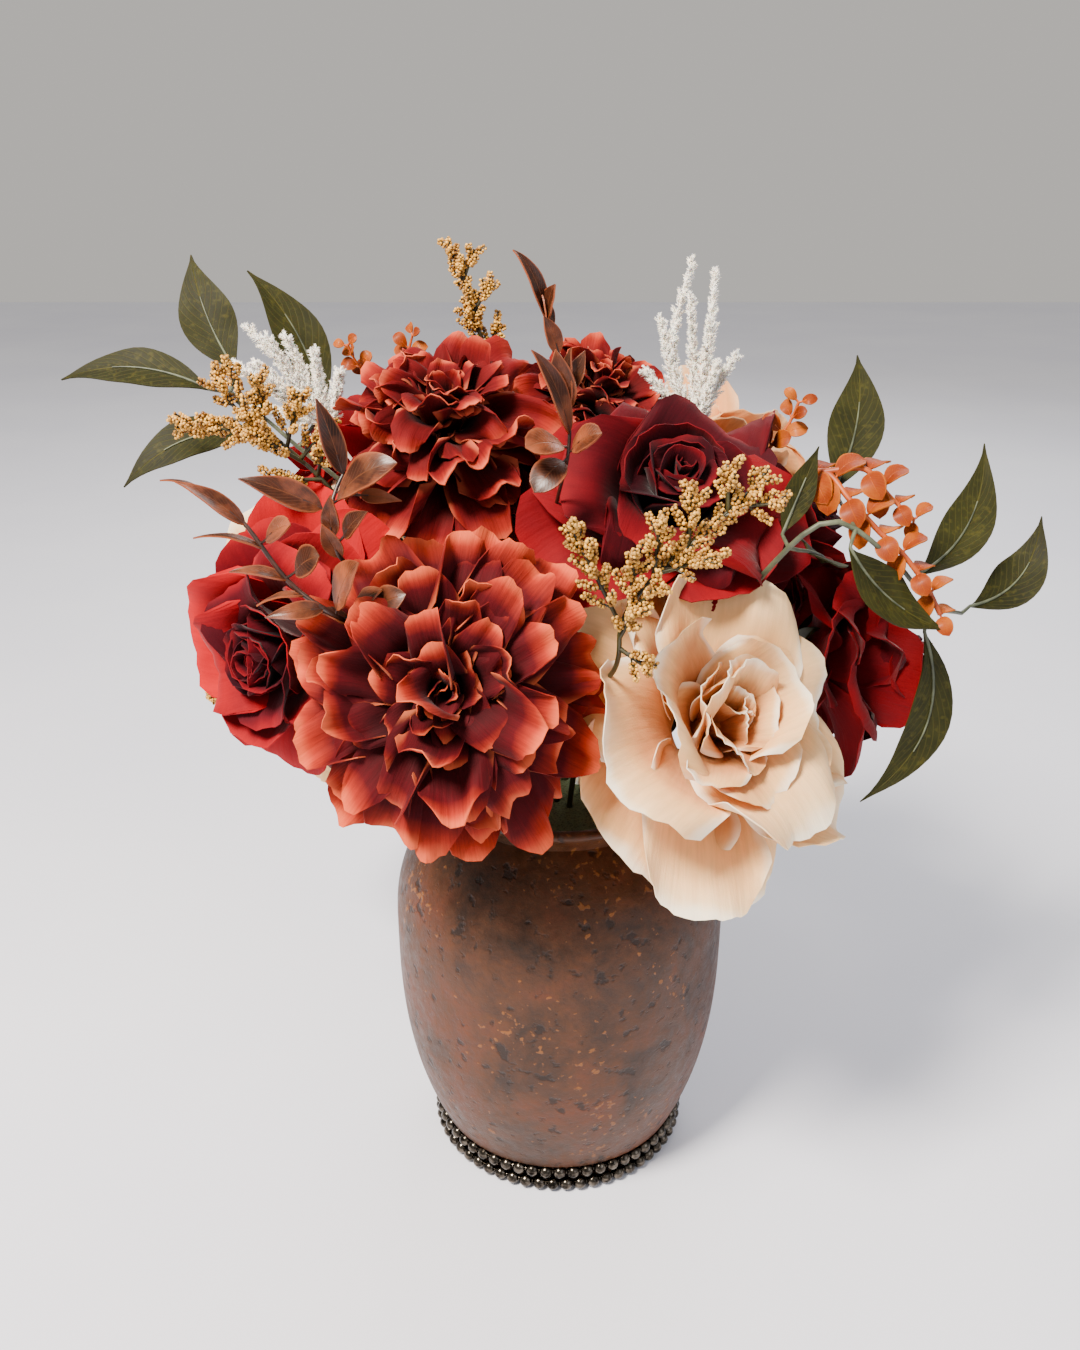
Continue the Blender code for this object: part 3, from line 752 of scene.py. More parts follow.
ROSE_ROWS = (
    PetalRow(2, 2.3, 0.85, (0.08, 2.2), (0, 0), 0.20, 0.00, 0, 0.0, 0.8, 0.25, scatter=2, twist=3),
    PetalRow(3, 2.6, 1.15, (0.20, 1.9), (0, 2), 0.38, 0.04, 15, 0.0, 0.8, 0.25, scatter=2, twist=3),
    PetalRow(3, 2.9, 1.50, (0.36, 1.6), (1, 5), 0.60, 0.15, 35, 0.01, 0.8, 0.28, scatter=3, twist=3),
    PetalRow(4, 3.2, 1.75, (0.56, 1.3), (3, 12), 0.90, 0.30, 55, 0.02, 0.75, 0.30, scatter=3, twist=4),
    PetalRow(4, 3.5, 2.20, (0.76, 1.0), (9, 25), 1.3, 0.50, 65, 0.04, 0.7, 0.36, 0.06, 4, 5),
    PetalRow(4, 3.9, 2.60, (0.86, 0.7), (24, 46), 1.9, 0.76, 60, 0.07, 0.6, 0.42, 0.12, 6, 8),
    PetalRow(5, 4.1, 2.90, (0.80, 0.4), (48, 72), 2.6, 1.00, 45, 0.10, 0.55, 0.46, 0.18, 8, 9),
    PetalRow(5, 4.1, 2.90, (0.60, 0.2), (76, 100), 3.0, 1.00, 25, 0.12, 0.5, 0.48, 0.18, 8, 9),
)
PEONY_ROWS = (
    PetalRow(3, 2.0, 0.90, (0.10, 2.0), (0, 12), 0.45, 0.05, 20, 0.08, 0.5, 0.35, scatter=8, twist=16),
    PetalRow(4, 2.8, 1.50, (0.35, 1.7), (8, 28), 0.85, 0.30, 20, 0.14, 0.5, 0.38, 0.08, 12, 18),
    PetalRow(4, 3.6, 2.20, (0.55, 1.3), (16, 38), 1.3, 0.50, 20, 0.18, 0.5, 0.40, 0.12, 12, 18),
    PetalRow(4, 4.5, 2.80, (0.75, 0.9), (30, 54), 1.8, 0.75, 25, 0.24, 0.5, 0.42, 0.20, 12, 16),
    PetalRow(5, 5.2, 3.10, (0.85, 0.5), (50, 72), 2.4, 0.90, 25, 0.28, 0.45, 0.42, 0.24, 12, 14),
    PetalRow(5, 5.3, 3.10, (0.75, 0.3), (72, 94), 3.0, 1.00, 25, 0.28, 0.42, 0.42, 0.24, 10, 12),
)


# How much the petals of a ring differ, as a share of their length, width, curl and dye.
LENGTH_SPREAD = 0.06
WIDTH_SPREAD = 0.07
CURL_SPREAD = 1.1
TINT_SPREAD = 0.22


@dataclass
class Bloom:
    """A flower head of cloth petals in the place of its CAD solid, with a calyx behind it.

    facing is the solid's azimuth and elevation in degrees, across its width and height. sag is how
    far the lower petals hang, look turns the petals away from facing, stacked sets the rings'
    petals one behind the other from 0, not at all, to 1, and rise lifts the head.
    """

    node: str
    kind: Kind
    facing: tuple[float, float]
    across: tuple[float, float]
    depth: float
    cloth: PetalCloth
    rows: tuple[PetalRow, ...]
    seed: int
    sag: float = 0.0
    look: tuple[float, float] | None = None
    stacked: float = 0.0
    rise: float = 0.0
    thickness: float = 0.35 * MM
    sepal_thickness: float = 0.5 * MM
    bend_steps: int = 60

    def frame(self) -> tuple[Array, Array, Array, Array]:
        """Where the head stands and how it is turned.

        Returns:
            The calyx point, and the head's level, upward and forward directions.
        """
        axis = heading(*self.facing)
        level = unit(np.cross(UP, axis))
        corners = np.array([v.co for v in bpy.data.objects[self.node].data.vertices])
        solid = np.unique(corners.round(5), axis=0)
        along = solid @ axis
        base = solid[along < along.min() + 0.1 * MM].mean(axis=0) + UP * self.rise
        if self.look:
            middle = base + axis * self.depth / 2
            axis = heading(*self.look)
            level = unit(np.cross(UP, axis))
            base = middle - axis * self.depth / 2
        return base, level, np.cross(axis, level), axis

    def petal(self, row: PetalRow, azimuth: float, rng: np.random.Generator) -> tuple[Array, Array]:
        """One petal in the head's own frame.

        Args:
            row: The ring that it belongs to.
            azimuth: Its angle round the head.
            rng: Source of its small differences.

        Returns:
            Its grid of points and their marks.
        """
        shape = self.kind.value
        jitter = rng.normal(0, 1, 10)
        length = row.length * (1 + LENGTH_SPREAD * jitter[0])
        half = row.half_width * (1 + WIDTH_SPREAD * jitter[1])

        # The spine starts at row.root, leans outwards and curls back over its outer half.
        fine = np.linspace(0, 1, self.bend_steps)
        lean = row.lean[0] + (row.lean[1] - row.lean[0]) * fine + row.scatter * jitter[2]
        lean = lean + row.curl * (1 + CURL_SPREAD * jitter[3]) * ease(fine, 0.5, 1.05)
        lean = np.radians(lean)
        step = length / (self.bend_steps - 1)
        out = row.root[0] + np.r_[0, np.cumsum(np.sin(lean[:-1]) * step)]
        rise = row.root[1] + np.r_[0, np.cumsum(np.cos(lean[:-1]) * step)]

        # The outline widens from a narrow root to a rounded end with a slightly frayed cut.
        t = np.linspace(0, 1, shape.stations)[:, None]
        s = np.linspace(-1, 1, shape.columns)[None, :]
        outline = row.tip * (1 - np.sqrt(1 - 0.98 * s**2)) / 0.86
        frayed = 0.012 * np.sin(9 * s + 7 * jitter[4]) + 0.010 * np.sin(17 * s + 5 * jitter[5])
        along = np.clip(t * (1 - outline + frayed * t**3), 0, 1)
        profile = row.narrow + (1 - row.narrow) * np.sin(math.pi / 2 * np.clip(t * 1.5, 0, 1)) ** 0.9
        width = half * profile * s
        radius = np.interp(along, fine, out)
        height = np.interp(along, fine, rise)
        tilt = np.interp(along, fine, lean)

        # Across, it is cupped like a spoon, with a ruffled and pleated rim and edges rolled back.
        spoon = math.exp(np.clip(0.024 * row.scatter * jitter[6], -0.6, 0.6))
        cup = np.maximum(row.cup * (0.75 + shape.flare * t) * spoon, 0.2)
        bend = width / cup
        sideways = cup * np.sin(bend)
        lift = cup * (1 - np.cos(bend))
        wave = np.sin(2 * math.pi * (0.9 * t + 0.5 * (s > 0) + jitter[8])) * np.abs(s) ** 1.7 * t
        wave = wave + 0.7 * np.sin(2 * math.pi * (0.8 * s + jitter[9])) * t**3
        pleats = 0.022 * np.sin(26 * s + 9 * jitter[1]) + 0.014 * np.sin(41 * s + 4 * jitter[2])
        lift = lift + (row.ruffle * wave + pleats * ease(t, 0.55, 1.0)) * (1 + length / 4)
        lift = lift - row.roll * ease(np.abs(s), 0.5, 1.0) * ease(t, 0.3, 1.0) * (1 + 0.6 * jitter[5])

        # It sways to one side and turns about its spine.
        sideways = sideways + 0.006 * row.scatter * length * jitter[9] * t**2
        turn = np.radians(row.twist) * jitter[7] * ease(t, 0.0, 1.0)
        swung = sideways * np.cos(turn) - lift * np.sin(turn)
        lift = sideways * np.sin(turn) + lift * np.cos(turn)
        radial = radius - lift * np.cos(tilt)
        upward = height + lift * np.sin(tilt)
        c, d = math.cos(azimuth), math.sin(azimuth)
        grid = np.stack([radial * c - swung * d, radial * d + swung * c, upward], -1) * CM
        tint = np.clip(row.tint + TINT_SPREAD * jitter[0], 0, 1)
        marks = np.stack(np.broadcast_arrays(along, s, tint), -1)
        return grid, marks

    def petals(self) -> Patchwork:
        """Lays the rings of petals round a core that fills the heart.

        Returns:
            All petals of the head, in place.
        """
        rng = np.random.default_rng(self.seed)
        base, level, upward, axis = self.frame()
        diameter = self.kind.value.diameter * CM
        wide, tall = self.across[0] / diameter, self.across[1] / diameter
        deep = self.depth / (self.kind.value.depth * CM)
        work = Patchwork()
        for number, row in enumerate(self.rows):
            start = (number * GOLDEN_ANGLE + rng.uniform(0, 1)) * (1 - self.stacked)
            for k in range(row.count):
                azimuth = start + 2 * math.pi * (k + 0.15 * rng.normal()) / row.count
                grid, marks = self.petal(row, azimuth, rng)
                place = base + grid[..., :1] * wide * level + grid[..., 1:2] * tall * upward
                place = place + grid[..., 2:] * deep * axis
                hang = self.sag * marks[..., 0] ** 2 * ease(-grid[..., 1], -0.01, 0.04)
                place[..., 2] -= hang
                work.add_shell(place, marks, self.thickness)
        core = np.linspace(base + axis * 4 * MM, base + axis * self.depth * 0.5, 6)
        work.add_tube(core, np.array([3, 5, 6, 6, 5, 2]) * MM * wide, 12, 0.0)
        work.marks[-1][:, 0] = 0.0
        return work

    def calyx(self) -> Patchwork:
        """Lays six narrow sepals that clasp the head from behind.

        Returns:
            The sepals, in place.
        """
        base, level, upward, axis = self.frame()
        work = Patchwork()
        t = np.linspace(0, 1, 7)[:, None]
        s = np.linspace(-1, 1, 5)[None, :]
        for azimuth in np.arange(6) * math.pi / 3:
            radial = math.cos(azimuth) * level + math.sin(azimuth) * upward
            side = np.cross(axis, radial)
            out = (4 + 15 * t) * MM + 0 * s
            rise = (-1.5 + 7 * t**2 - 2 * s**2) * MM
            half = 4.5 * MM * np.sin(math.pi * (0.2 + 0.8 * t)) + 0.2 * MM
            grid = base + out[..., None] * radial + rise[..., None] * axis + (half * s)[..., None] * side
            marks = np.stack(np.broadcast_arrays(t, s, 0.5), -1)
            work.add_shell(grid, marks, self.sepal_thickness)
        return work

    def make(self) -> None:
        """Builds the head and its calyx."""
        petals = self.petals().build(f"{self.node}_petals", self.cloth.material())
        deliver(petals, self.kind.name.lower(), self.node)
        deliver(self.calyx().build(f"{self.node}_calyx", WIRE_GREEN.material()), "stem_green")


def blooms() -> list[Bloom]:
    """Lists the flower heads, each with its place, size, cloth, petals and seed.

    Returns:
        Every flower head of the arrangement.
    """
    dahlia = partial(Bloom, kind=Kind.DAHLIA, depth=0.044, rows=POMPOM_ROWS, cloth=DAHLIA_TOP_CLOTH)
    dark_dahlia = partial(dahlia, rows=DAHLIA_ROWS, cloth=DAHLIA_CLOTH, stacked=0.96)
    rose = partial(Bloom, kind=Kind.ROSE, depth=0.046, rows=ROSE_ROWS, cloth=ROSE_CLOTH)
    # Painted shade: the centre, right and behind roses take the darkened copy of the rose cloth.
    shaded_rose = partial(rose, cloth=ROSE_SHADED_CLOTH)
    peony = partial(Bloom, kind=Kind.PEONY, depth=0.046, rows=PEONY_ROWS, cloth=PEONY_CLOTH)
    peach_peony = partial(peony, cloth=PEACH_CLOTH)
    return [
        dark_dahlia("dahlia_front", facing=(-7, 17), across=(0.108, 0.112), seed=11, sag=0.004,
                    look=(3, 20)),
        dahlia("dahlia_top", facing=(-22, 64), across=(0.102, 0.100), seed=12),
        dahlia("dahlia_crown", facing=(165, 60), across=(0.096, 0.094), depth=0.042, seed=13, look=(40, 68)),
        dark_dahlia("dahlia_back", facing=(192, 14), across=(0.090, 0.090), seed=14, sag=0.003),
        rose("rose_left", facing=(-48, 6), across=(0.078, 0.088), seed=21, sag=0.004, look=(-30, 4)),
        shaded_rose("rose_centre", facing=(15, 48), across=(0.090, 0.084), seed=22, look=(6, 44)),
        shaded_rose("rose_right", facing=(76, -2), across=(0.058, 0.064), seed=23, sag=0.002),
        shaded_rose("rose_behind", facing=(92, 34), across=(0.058, 0.058), depth=0.044, seed=24),
        rose("rose_back", facing=(-128, 36), across=(0.060, 0.060), depth=0.044, seed=25),
        peony("peony_front", facing=(24, -6), across=(0.090, 0.100), depth=0.048, seed=31, sag=0.008,
              look=(30, 36), rise=0.011),
        peony("peony_left", facing=(-98, -3), across=(0.112, 0.112), seed=32, sag=0.006, look=(-36, 8)),
        peach_peony("peony_crown", facing=(150, 38), across=(0.070, 0.070), depth=0.042, seed=33,
                    rise=0.007),
        peach_peony("peony_back", facing=(122, -8), across=(0.078, 0.082), seed=34, sag=0.006),
    ]


# ---------------------------------------------------------------------------------------------
# Leaves
# ---------------------------------------------------------------------------------------------


@dataclass(frozen=True)
class Blade:
    """The shape of a leaf: fullness of its outline, fold along its midrib, and wave of its edge."""

    widest: float = 0.42
    blunt: float = 0.9
    fold: float = 0.18
    wave: float = 0.04
    stations: int = 18
    columns: int = 7

    def grid(self, base: Array, tip: Array, face: Array, half: float, bow: Array, twist: float,
             tint: float) -> tuple[Array, Array]:
        """A leaf's points.

        Args:
            base: Where the leaf starts.
            tip: Where it ends.
            face: The way its upper side looks.
            half: Half its width.
            bow: How far its middle stands off the straight line.
            twist: Turn of its tip about its length, in radians.
            tint: The tint that its finish reads.

        Returns:
            The grid of points and their marks.
        """
        t = np.linspace(0, 1, self.stations)
        s = np.linspace(-1, 1, self.columns)
        centre = base + np.outer(t, tip - base) + np.outer(4 * t * (1 - t), bow)
        tangent = unit(np.gradient(centre, axis=0))
        side = unit(np.cross(tangent, face))
        normal = np.cross(side, tangent)
        turn = (twist * t**1.5)[:, None]
        turned_side = side * np.cos(turn) + normal * np.sin(turn)
        turned_normal = normal * np.cos(turn) - side * np.sin(turn)
        power = math.log(0.5) / math.log(self.widest)
        outline = np.sin(math.pi * np.clip(t, 1e-4, 1) ** power) ** self.blunt
        width = half * np.maximum(outline, 0.02)
        across = width[:, None] * s[None]
        ripple = self.wave * np.sin(16 * t)[:, None] * s[None] ** 2
        lift = width[:, None] * (self.fold * np.abs(s)[None] + ripple)
        grid = centre[:, None] + turned_side[:, None] * across[..., None]
        grid = grid + turned_normal[:, None] * lift[..., None]
        marks = np.stack(np.broadcast_arrays(t[:, None], s[None], tint), -1)
        return grid, marks


POINTED_BLADE = Blade(0.36, 1.0, 0.22, 0.03, 14, 5)
OVAL_BLADE = Blade(0.5, 0.8, 0.14, 0.03, 14, 5)
ROUND_BLADE = Blade(0.55, 0.55, 0.14, 0.02, 10, 5)


# ---------------------------------------------------------------------------------------------
# Stems and sprigs
# ---------------------------------------------------------------------------------------------


@dataclass
class Vessel:
    """The vase and the foam as the frame gives them, and how sprig stems stand in them.

    foam_edge is the least distance from a stem to the foam's edge, and stem_depth how deep it goes.
    spread is how far out a stem stands, as a share of its first way point, gather how much less
    that is for each metre of the point's height, and splay how much its foot slants inwards.
    """

    lip: float = field(init=False)
    foam_top: float = field(init=False)
    foam_radius: float = field(init=False)
    foam_edge: float = 5.4 * MM
    stem_depth: float = 55 * MM
    spread: float = 0.42
    gather: float = 1.5
    splay: float = 0.15

    def __post_init__(self) -> None:
        """Reads the sizes from the frame."""
        self.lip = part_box("vase")[1].z
        self.foam_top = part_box("foam_block")[1].z
        self.foam_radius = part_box("foam_block")[1].x

    def above_lip(self, point: Sequence[float]) -> Array:
        """A point given as x, y and height above the lip."""
        return np.array([point[0], point[1], self.lip + point[2]])

    def route(self, points: Sequence[Sequence[float]], count: int) -> Array:
        """The way of a stem from its hole in the foam through its way points.

        Args:
            points: The way points, given as x, y and height above the lip.
            count: How many points to return.

        Returns:
            The stem's evenly spaced points, foot first.
        """
        way = [self.above_lip(p) for p in points]
        # A stem whose first way point is high stands nearer to the middle of the foam.
        flat = way[0] * [1, 1, 0] * (self.spread - self.gather * points[0][2])
        furthest = self.foam_radius - self.foam_edge
        flat = flat * min(1.0, furthest / np.linalg.norm(flat))
        slot = flat + UP * self.foam_top
        foot = slot - np.array([self.splay * slot[0], self.splay * slot[1], self.stem_depth])
        return smooth_path([foot, slot, *way], count)


@dataclass
class BloomStems:
    """The wire stems under the flower heads and the foam, which keep their CAD shapes."""

    def dress(self) -> None:
        """Gives each one its finish."""
        for node in frame["nodes"]:
            if node.endswith("_stem") and not node.startswith("spray"):
                bpy.data.objects[node].data.materials[0] = WIRE_GREEN.material()
        bpy.data.objects["foam_block"].data.materials[0] = DryFoam().material()


@dataclass
class WillowSprays:
    """Three sprays of willow leaves: grey-green coated stems that arch out of the foam, with each
    leaf on a short stalk. A leaf takes its ends, width and bow from its CAD solid."""

    vessel: Vessel
    radius: float = 1.4 * MM
    thickness: float = 0.5 * MM
    blade: Blade = Blade(0.45, 1.3, 0.16, 0.05)
    stems: dict[str, list] = field(default_factory=lambda: {
        "spray_left": [(-0.056, 0.018, 0.084), (-0.102, 0.020, 0.131), (-0.120, 0.014, 0.149)],
        "spray_right": [
            (0.056, -0.020, 0.066), (0.068, -0.050, 0.104), (0.085, -0.056, 0.121),
            (0.106, -0.054, 0.108), (0.124, -0.046, 0.089), (0.140, -0.030, 0.080),
        ],
        "spray_back": [(-0.030, 0.056, 0.092), (-0.062, 0.116, 0.094), (-0.078, 0.130, 0.090)],
    })
    facings: dict[str, tuple[float, float]] = field(default_factory=lambda: {
        "leaf_left_low": (0, 50), "leaf_left_tall": (5, 30), "leaf_left_inner": (10, 35),
        "leaf_left_drop": (-10, 50), "leaf_right_tall": (-10, 40), "leaf_right_mid": (-15, 40),
        "leaf_right_tip": (-15, 40), "leaf_right_hang": (15, 20), "leaf_right_arch": (10, 50),
        "leaf_right_inner": (20, 60), "leaf_right_small": (0, 30), "leaf_back_low": (180, 50),
        "leaf_back_drop": (190, 20),
    })

    def make(self) -> None:
        """Builds the stems, then each leaf with its stalk."""
        paths = []
        for name, points in self.stems.items():
            path = self.vessel.route(points, 48)
            paths.append(path)
            work = Patchwork()
            work.add_tube(path, self.radius * np.linspace(1.0, 0.5, len(path)), 10)
            deliver(work.build(f"{name}_wire", WIRE_GREY.material()), "stem_green", f"{name}_stem")
        for number, (node, facing) in enumerate(self.facings.items()):
            self.leaf(node, heading(*facing), np.vstack(paths), number)

    def leaf(self, node: str, face: Array, stem: Array, number: int) -> None:
        """Builds one leaf over its CAD solid.

        Args:
            node: The leaf's CAD node.
            face: The way that its upper side looks.
            stem: Every point of the spray stems.
            number: Its place in the list, which sets its tint and twist.
        """
        points = np.array([v.co for v in bpy.data.objects[node].data.vertices])
        gaps = np.linalg.norm(points[:, None] - points[None], axis=-1)
        ends = [points[k] for k in np.unravel_index(gaps.argmax(), gaps.shape)]
        ends.sort(key=lambda end: np.linalg.norm(stem - end, axis=1).min())
        base, tip = ends
        axis = unit(tip - base)
        side = unit(np.cross(axis, face))
        share = (points - base) @ axis / np.linalg.norm(tip - base)
        middle = points[(share > 0.35) & (share < 0.65)]
        middle = middle if len(middle) > 2 else points
        bow = middle.mean(0) - (base + tip) / 2
        bow = bow - axis * (bow @ axis)
        half = 0.46 * np.ptp((middle - np.outer(middle @ axis, axis)) @ side)
        tint = 0.3 + 0.2 * (number % 3)
        grid, marks = self.blade.grid(base, tip, face, half, bow, 0.3 * math.sin(2.4 * number), tint)
        work = Patchwork()
        work.add_shell(grid, marks, self.thickness)
        deliver(work.build(f"{node}_blade", WILLOW_LEAF.material()), "willow", node)
        anchor = stem[np.linalg.norm(stem - base, axis=1).argmin()]
        spine = grid[:12, grid.shape[1] // 2]
        stalk = Patchwork()
        below = np.cross(side, axis) * 0.5 * MM
        way = np.vstack([smooth_path([anchor, (anchor + base) / 2, base + below], 5), spine[1:] + below])
        stalk.add_tube(way, np.linspace(0.75, 0.25, len(way)) * MM, 6)
        deliver(stalk.build(f"{node}_stalk", WIRE_GREY.material()), "willow")


def clock_way(clock: float, lean: float) -> Array:
    """Unit vector of a clock angle seen from the front, 0 up and 90 right, leaned to the front."""
    c, n = math.radians(clock), math.radians(lean)
    return np.array([math.sin(c) * math.cos(n), -math.sin(n), math.cos(c) * math.cos(n)])


def station(path: Array, back: float) -> Array:
    """A point on an evenly spaced path.

    Args:
        path: The path's points.
        back: How far before its end the point lies, in millimetres.

    Returns:
        The point.
    """
    pitch = np.linalg.norm(path[1] - path[0])
    place = max(0.0, len(path) - 1 - back * MM / pitch)
    k = min(int(place), len(path) - 2)
    return path[k] + (path[k + 1] - path[k]) * (place - k)


@dataclass(frozen=True)
class Leaflet:
    """One moulded leaf of a sprig, with its sizes in millimetres and its angles in degrees.

    back is how far below the stem's tip it grows. clock and lean give its direction, turn rolls
    the blade about its own length, and bow arches it by a share of its length.
    """

    back: float
    clock: float
    lean: float
    length: float
    width: float
    blade: Blade = POINTED_BLADE
    turn: float = 0.0
    bow: float = 0.10
    stalk: float = 0.0


@dataclass
class LeafySprig:
    """A moulded sprig: a tapering stem and the leaves that leave it."""

    name: str
    slot: str
    path: Array
    leaves: Sequence[Leaflet]
    wire: MouldedPlastic
    finish: PrintedLeaf
    radius: float = 1.3 * MM
    thickness: float = 0.5 * MM
    nodes: tuple[str, ...] = ()
    lit_side: ClassVar[Array] = np.array([-0.15, -0.62, 0.77])

    def make(self) -> None:
        """Builds the stem as one piece and the leaves as another."""
        stem, blades = Patchwork(), Patchwork()
        stem.add_tube(self.path, self.radius * np.linspace(1.1, 0.5, len(self.path)), 8)
        for number, leaf in enumerate(self.leaves):
            root = station(self.path, leaf.back)
            way = clock_way(leaf.clock, leaf.lean)
            base = root + way * leaf.stalk * MM
            tip = base + way * leaf.length * MM
            face = unit(self.lit_side - way * 0.2)
            side = np.cross(way, face)
            a = math.radians(leaf.turn)
            face = face * math.cos(a) + side * math.sin(a)
            bow = face * leaf.bow * leaf.length * MM
            tint = 0.2 + 0.6 * ((number * 0.618) % 1)
            twist = 0.35 * math.sin(5 * number)
            grid, marks = leaf.blade.grid(base, tip, face, leaf.width / 2 * MM, bow, twist, tint)
            blades.add_shell(grid, marks, self.thickness)
            stem.add_tube(smooth_path([root, base, grid[3, grid.shape[1] // 2]], 5), 0.45 * MM, 6)
        deliver(stem.build(f"{self.name}_wire", self.wire.material()), self.slot, *self.nodes)
        deliver(blades.build(f"{self.name}_leaves", self.finish.material()), self.slot)


def paired_leaves(count: int, reach: float, clock: float, length: float, width: float,
                  fade: float = 0.4) -> list[Leaflet]:
    """Small round leaves in opposite pairs up a stem, each pair a quarter turn from the last.

    Args:
        count: How many pairs.
        reach: How far below the tip the lowest pair grows, in millimetres.
        clock: The clock angle that the stem runs in.
        length: Length of the lowest leaves in millimetres.
        width: Their width in millimetres.
        fade: How much smaller the last pair is.

    Returns:
        The leaves.
    """
    leaves = []
    for i in range(count):
        share = i / (count - 1)
        size = 1 - fade * share
        for side in (-1, 1):
            across = 62 * side if i % 2 else 34 * side
            lean = 12 * side if i % 2 else 45 * side
            leaves.append(Leaflet(reach * (1 - share), clock + across, lean, length * size, width * size,
                                  ROUND_BLADE, turn=25 * side, bow=0.22, stalk=1.2))
    return leaves


# ---------------------------------------------------------------------------------------------
# Geometry Nodes: berries, plume hairs and bead strings
# ---------------------------------------------------------------------------------------------


class NodeTool:
    """A Geometry Nodes tree with named size inputs, run on an object and turned to a plain mesh."""

    def __init__(self, name: str, sizes: dict[str, float | int]) -> None:
        """Makes the tree with its group input and output.

        Args:
            name: The tree's name.
            sizes: Its named inputs and their values.
        """
        self.sizes = sizes
        self.tree = bpy.data.node_groups.new(name, "GeometryNodeTree")
        face = self.tree.interface
        face.new_socket("Geometry", in_out="INPUT", socket_type="NodeSocketGeometry")
        for key, value in sizes.items():
            kind = "NodeSocketInt" if isinstance(value, int) else "NodeSocketFloat"
            face.new_socket(key, in_out="INPUT", socket_type=kind)
        face.new_socket("Geometry", in_out="OUTPUT", socket_type="NodeSocketGeometry")
        self.inputs = add_node(self.tree, "NodeGroupInput").outputs

    def finish(self, instances: bpy.types.Node, material: bpy.types.Material) -> None:
        """Ends the tree: real geometry, shaded smooth, in one material.

        Args:
            instances: The last geometry made.
            material: The material it gets.
        """
        real = add_node(self.tree, "GeometryNodeRealizeInstances", {0: instances})
        smooth = add_node(self.tree, "GeometryNodeSetShadeSmooth", {0: real})
        dressed = add_node(self.tree, "GeometryNodeSetMaterial", {0: smooth, 2: material})
        add_node(self.tree, "NodeGroupOutput", {0: dressed})

    def run(self, carrier: bpy.types.Object, name: str) -> bpy.types.Object:
        """Runs the tree on a carrier object.

        Args:
            carrier: The object that the tree reads, which is removed afterwards.
            name: Name of the piece.

        Returns:
            The piece, a plain mesh object at the origin.
        """
        modifier = carrier.modifiers.new("grow", "NODES")
        modifier.node_group = self.tree
        for item in self.tree.interface.items_tree:
            if item.in_out == "INPUT" and item.name in self.sizes:
                modifier[item.identifier] = self.sizes[item.name]
        depsgraph = bpy.context.evaluated_depsgraph_get()
        mesh = bpy.data.meshes.new_from_object(carrier.evaluated_get(depsgraph))
        bpy.data.objects.remove(carrier)
        mesh.name = name
        piece = bpy.data.objects.new(name, mesh)
        bpy.context.scene.collection.objects.link(piece)
        return piece


def spline_carrier(name: str, lines: Sequence[tuple[Array, Array]]) -> bpy.types.Object:
    """Makes a curve object that a tree can read.

    Args:
        name: Its name.
        lines: The points and radii of each straight-sided spline.

    Returns:
        The curve object.
    """
    data = bpy.data.curves.new(name, "CURVE")
    data.dimensions = "3D"
    for points, radii in lines:
        spline = data.splines.new("POLY")
        spline.points.add(len(points) - 1)
        for target, place, radius in zip(spline.points, points, radii):
            target.co = (*place, 1.0)
            target.radius = radius
    thing = bpy.data.objects.new(name, data)
    bpy.context.scene.collection.objects.link(thing)
    return thing


def berry_tool(finish: bpy.types.Material, seed: int) -> NodeTool:
    """The tree that covers splines with berries, a little in and out of line as they are moulded.

    Args:
        finish: The berries' material.
        seed: Fixes where they sit and how large each one is.

    Returns:
        The tool, which runs on a curve whose radii are the thickness to cover.
    """
    tool = NodeTool(f"berries_{seed}", {"Berry Radius": 0.62 * MM, "Gap": 0.95 * MM, "Seed": seed})
    node = partial(add_node, tool.tree)
    ring = node("GeometryNodeCurvePrimitiveCircle", {0: 8, 4: 1.0})
    radius = node("GeometryNodeInputRadius")
    skin = node("GeometryNodeCurveToMesh", {0: tool.inputs[0], 1: ring, 2: radius, 3: True})
    spots = node("GeometryNodeDistributePointsOnFaces",
                 {"Mesh": skin, "Distance Min": tool.inputs["Gap"], "Seed": tool.inputs["Seed"],
                  "Density Max": 2.4e6, "Density Factor": 1.0}, distribute_method="POISSON")
    ball = node("GeometryNodeMeshUVSphere", {0: 7, 1: 5, 2: tool.inputs["Berry Radius"]})
    size = node("FunctionNodeRandomValue", {2: 0.72, 3: 1.18, 8: tool.inputs["Seed"]})
    berries = node("GeometryNodeInstanceOnPoints", {"Points": spots, "Instance": ball,
                                                    "Rotation": spots.outputs[2], "Scale": size.outputs[1]})
    tool.finish(berries, finish)
    return tool


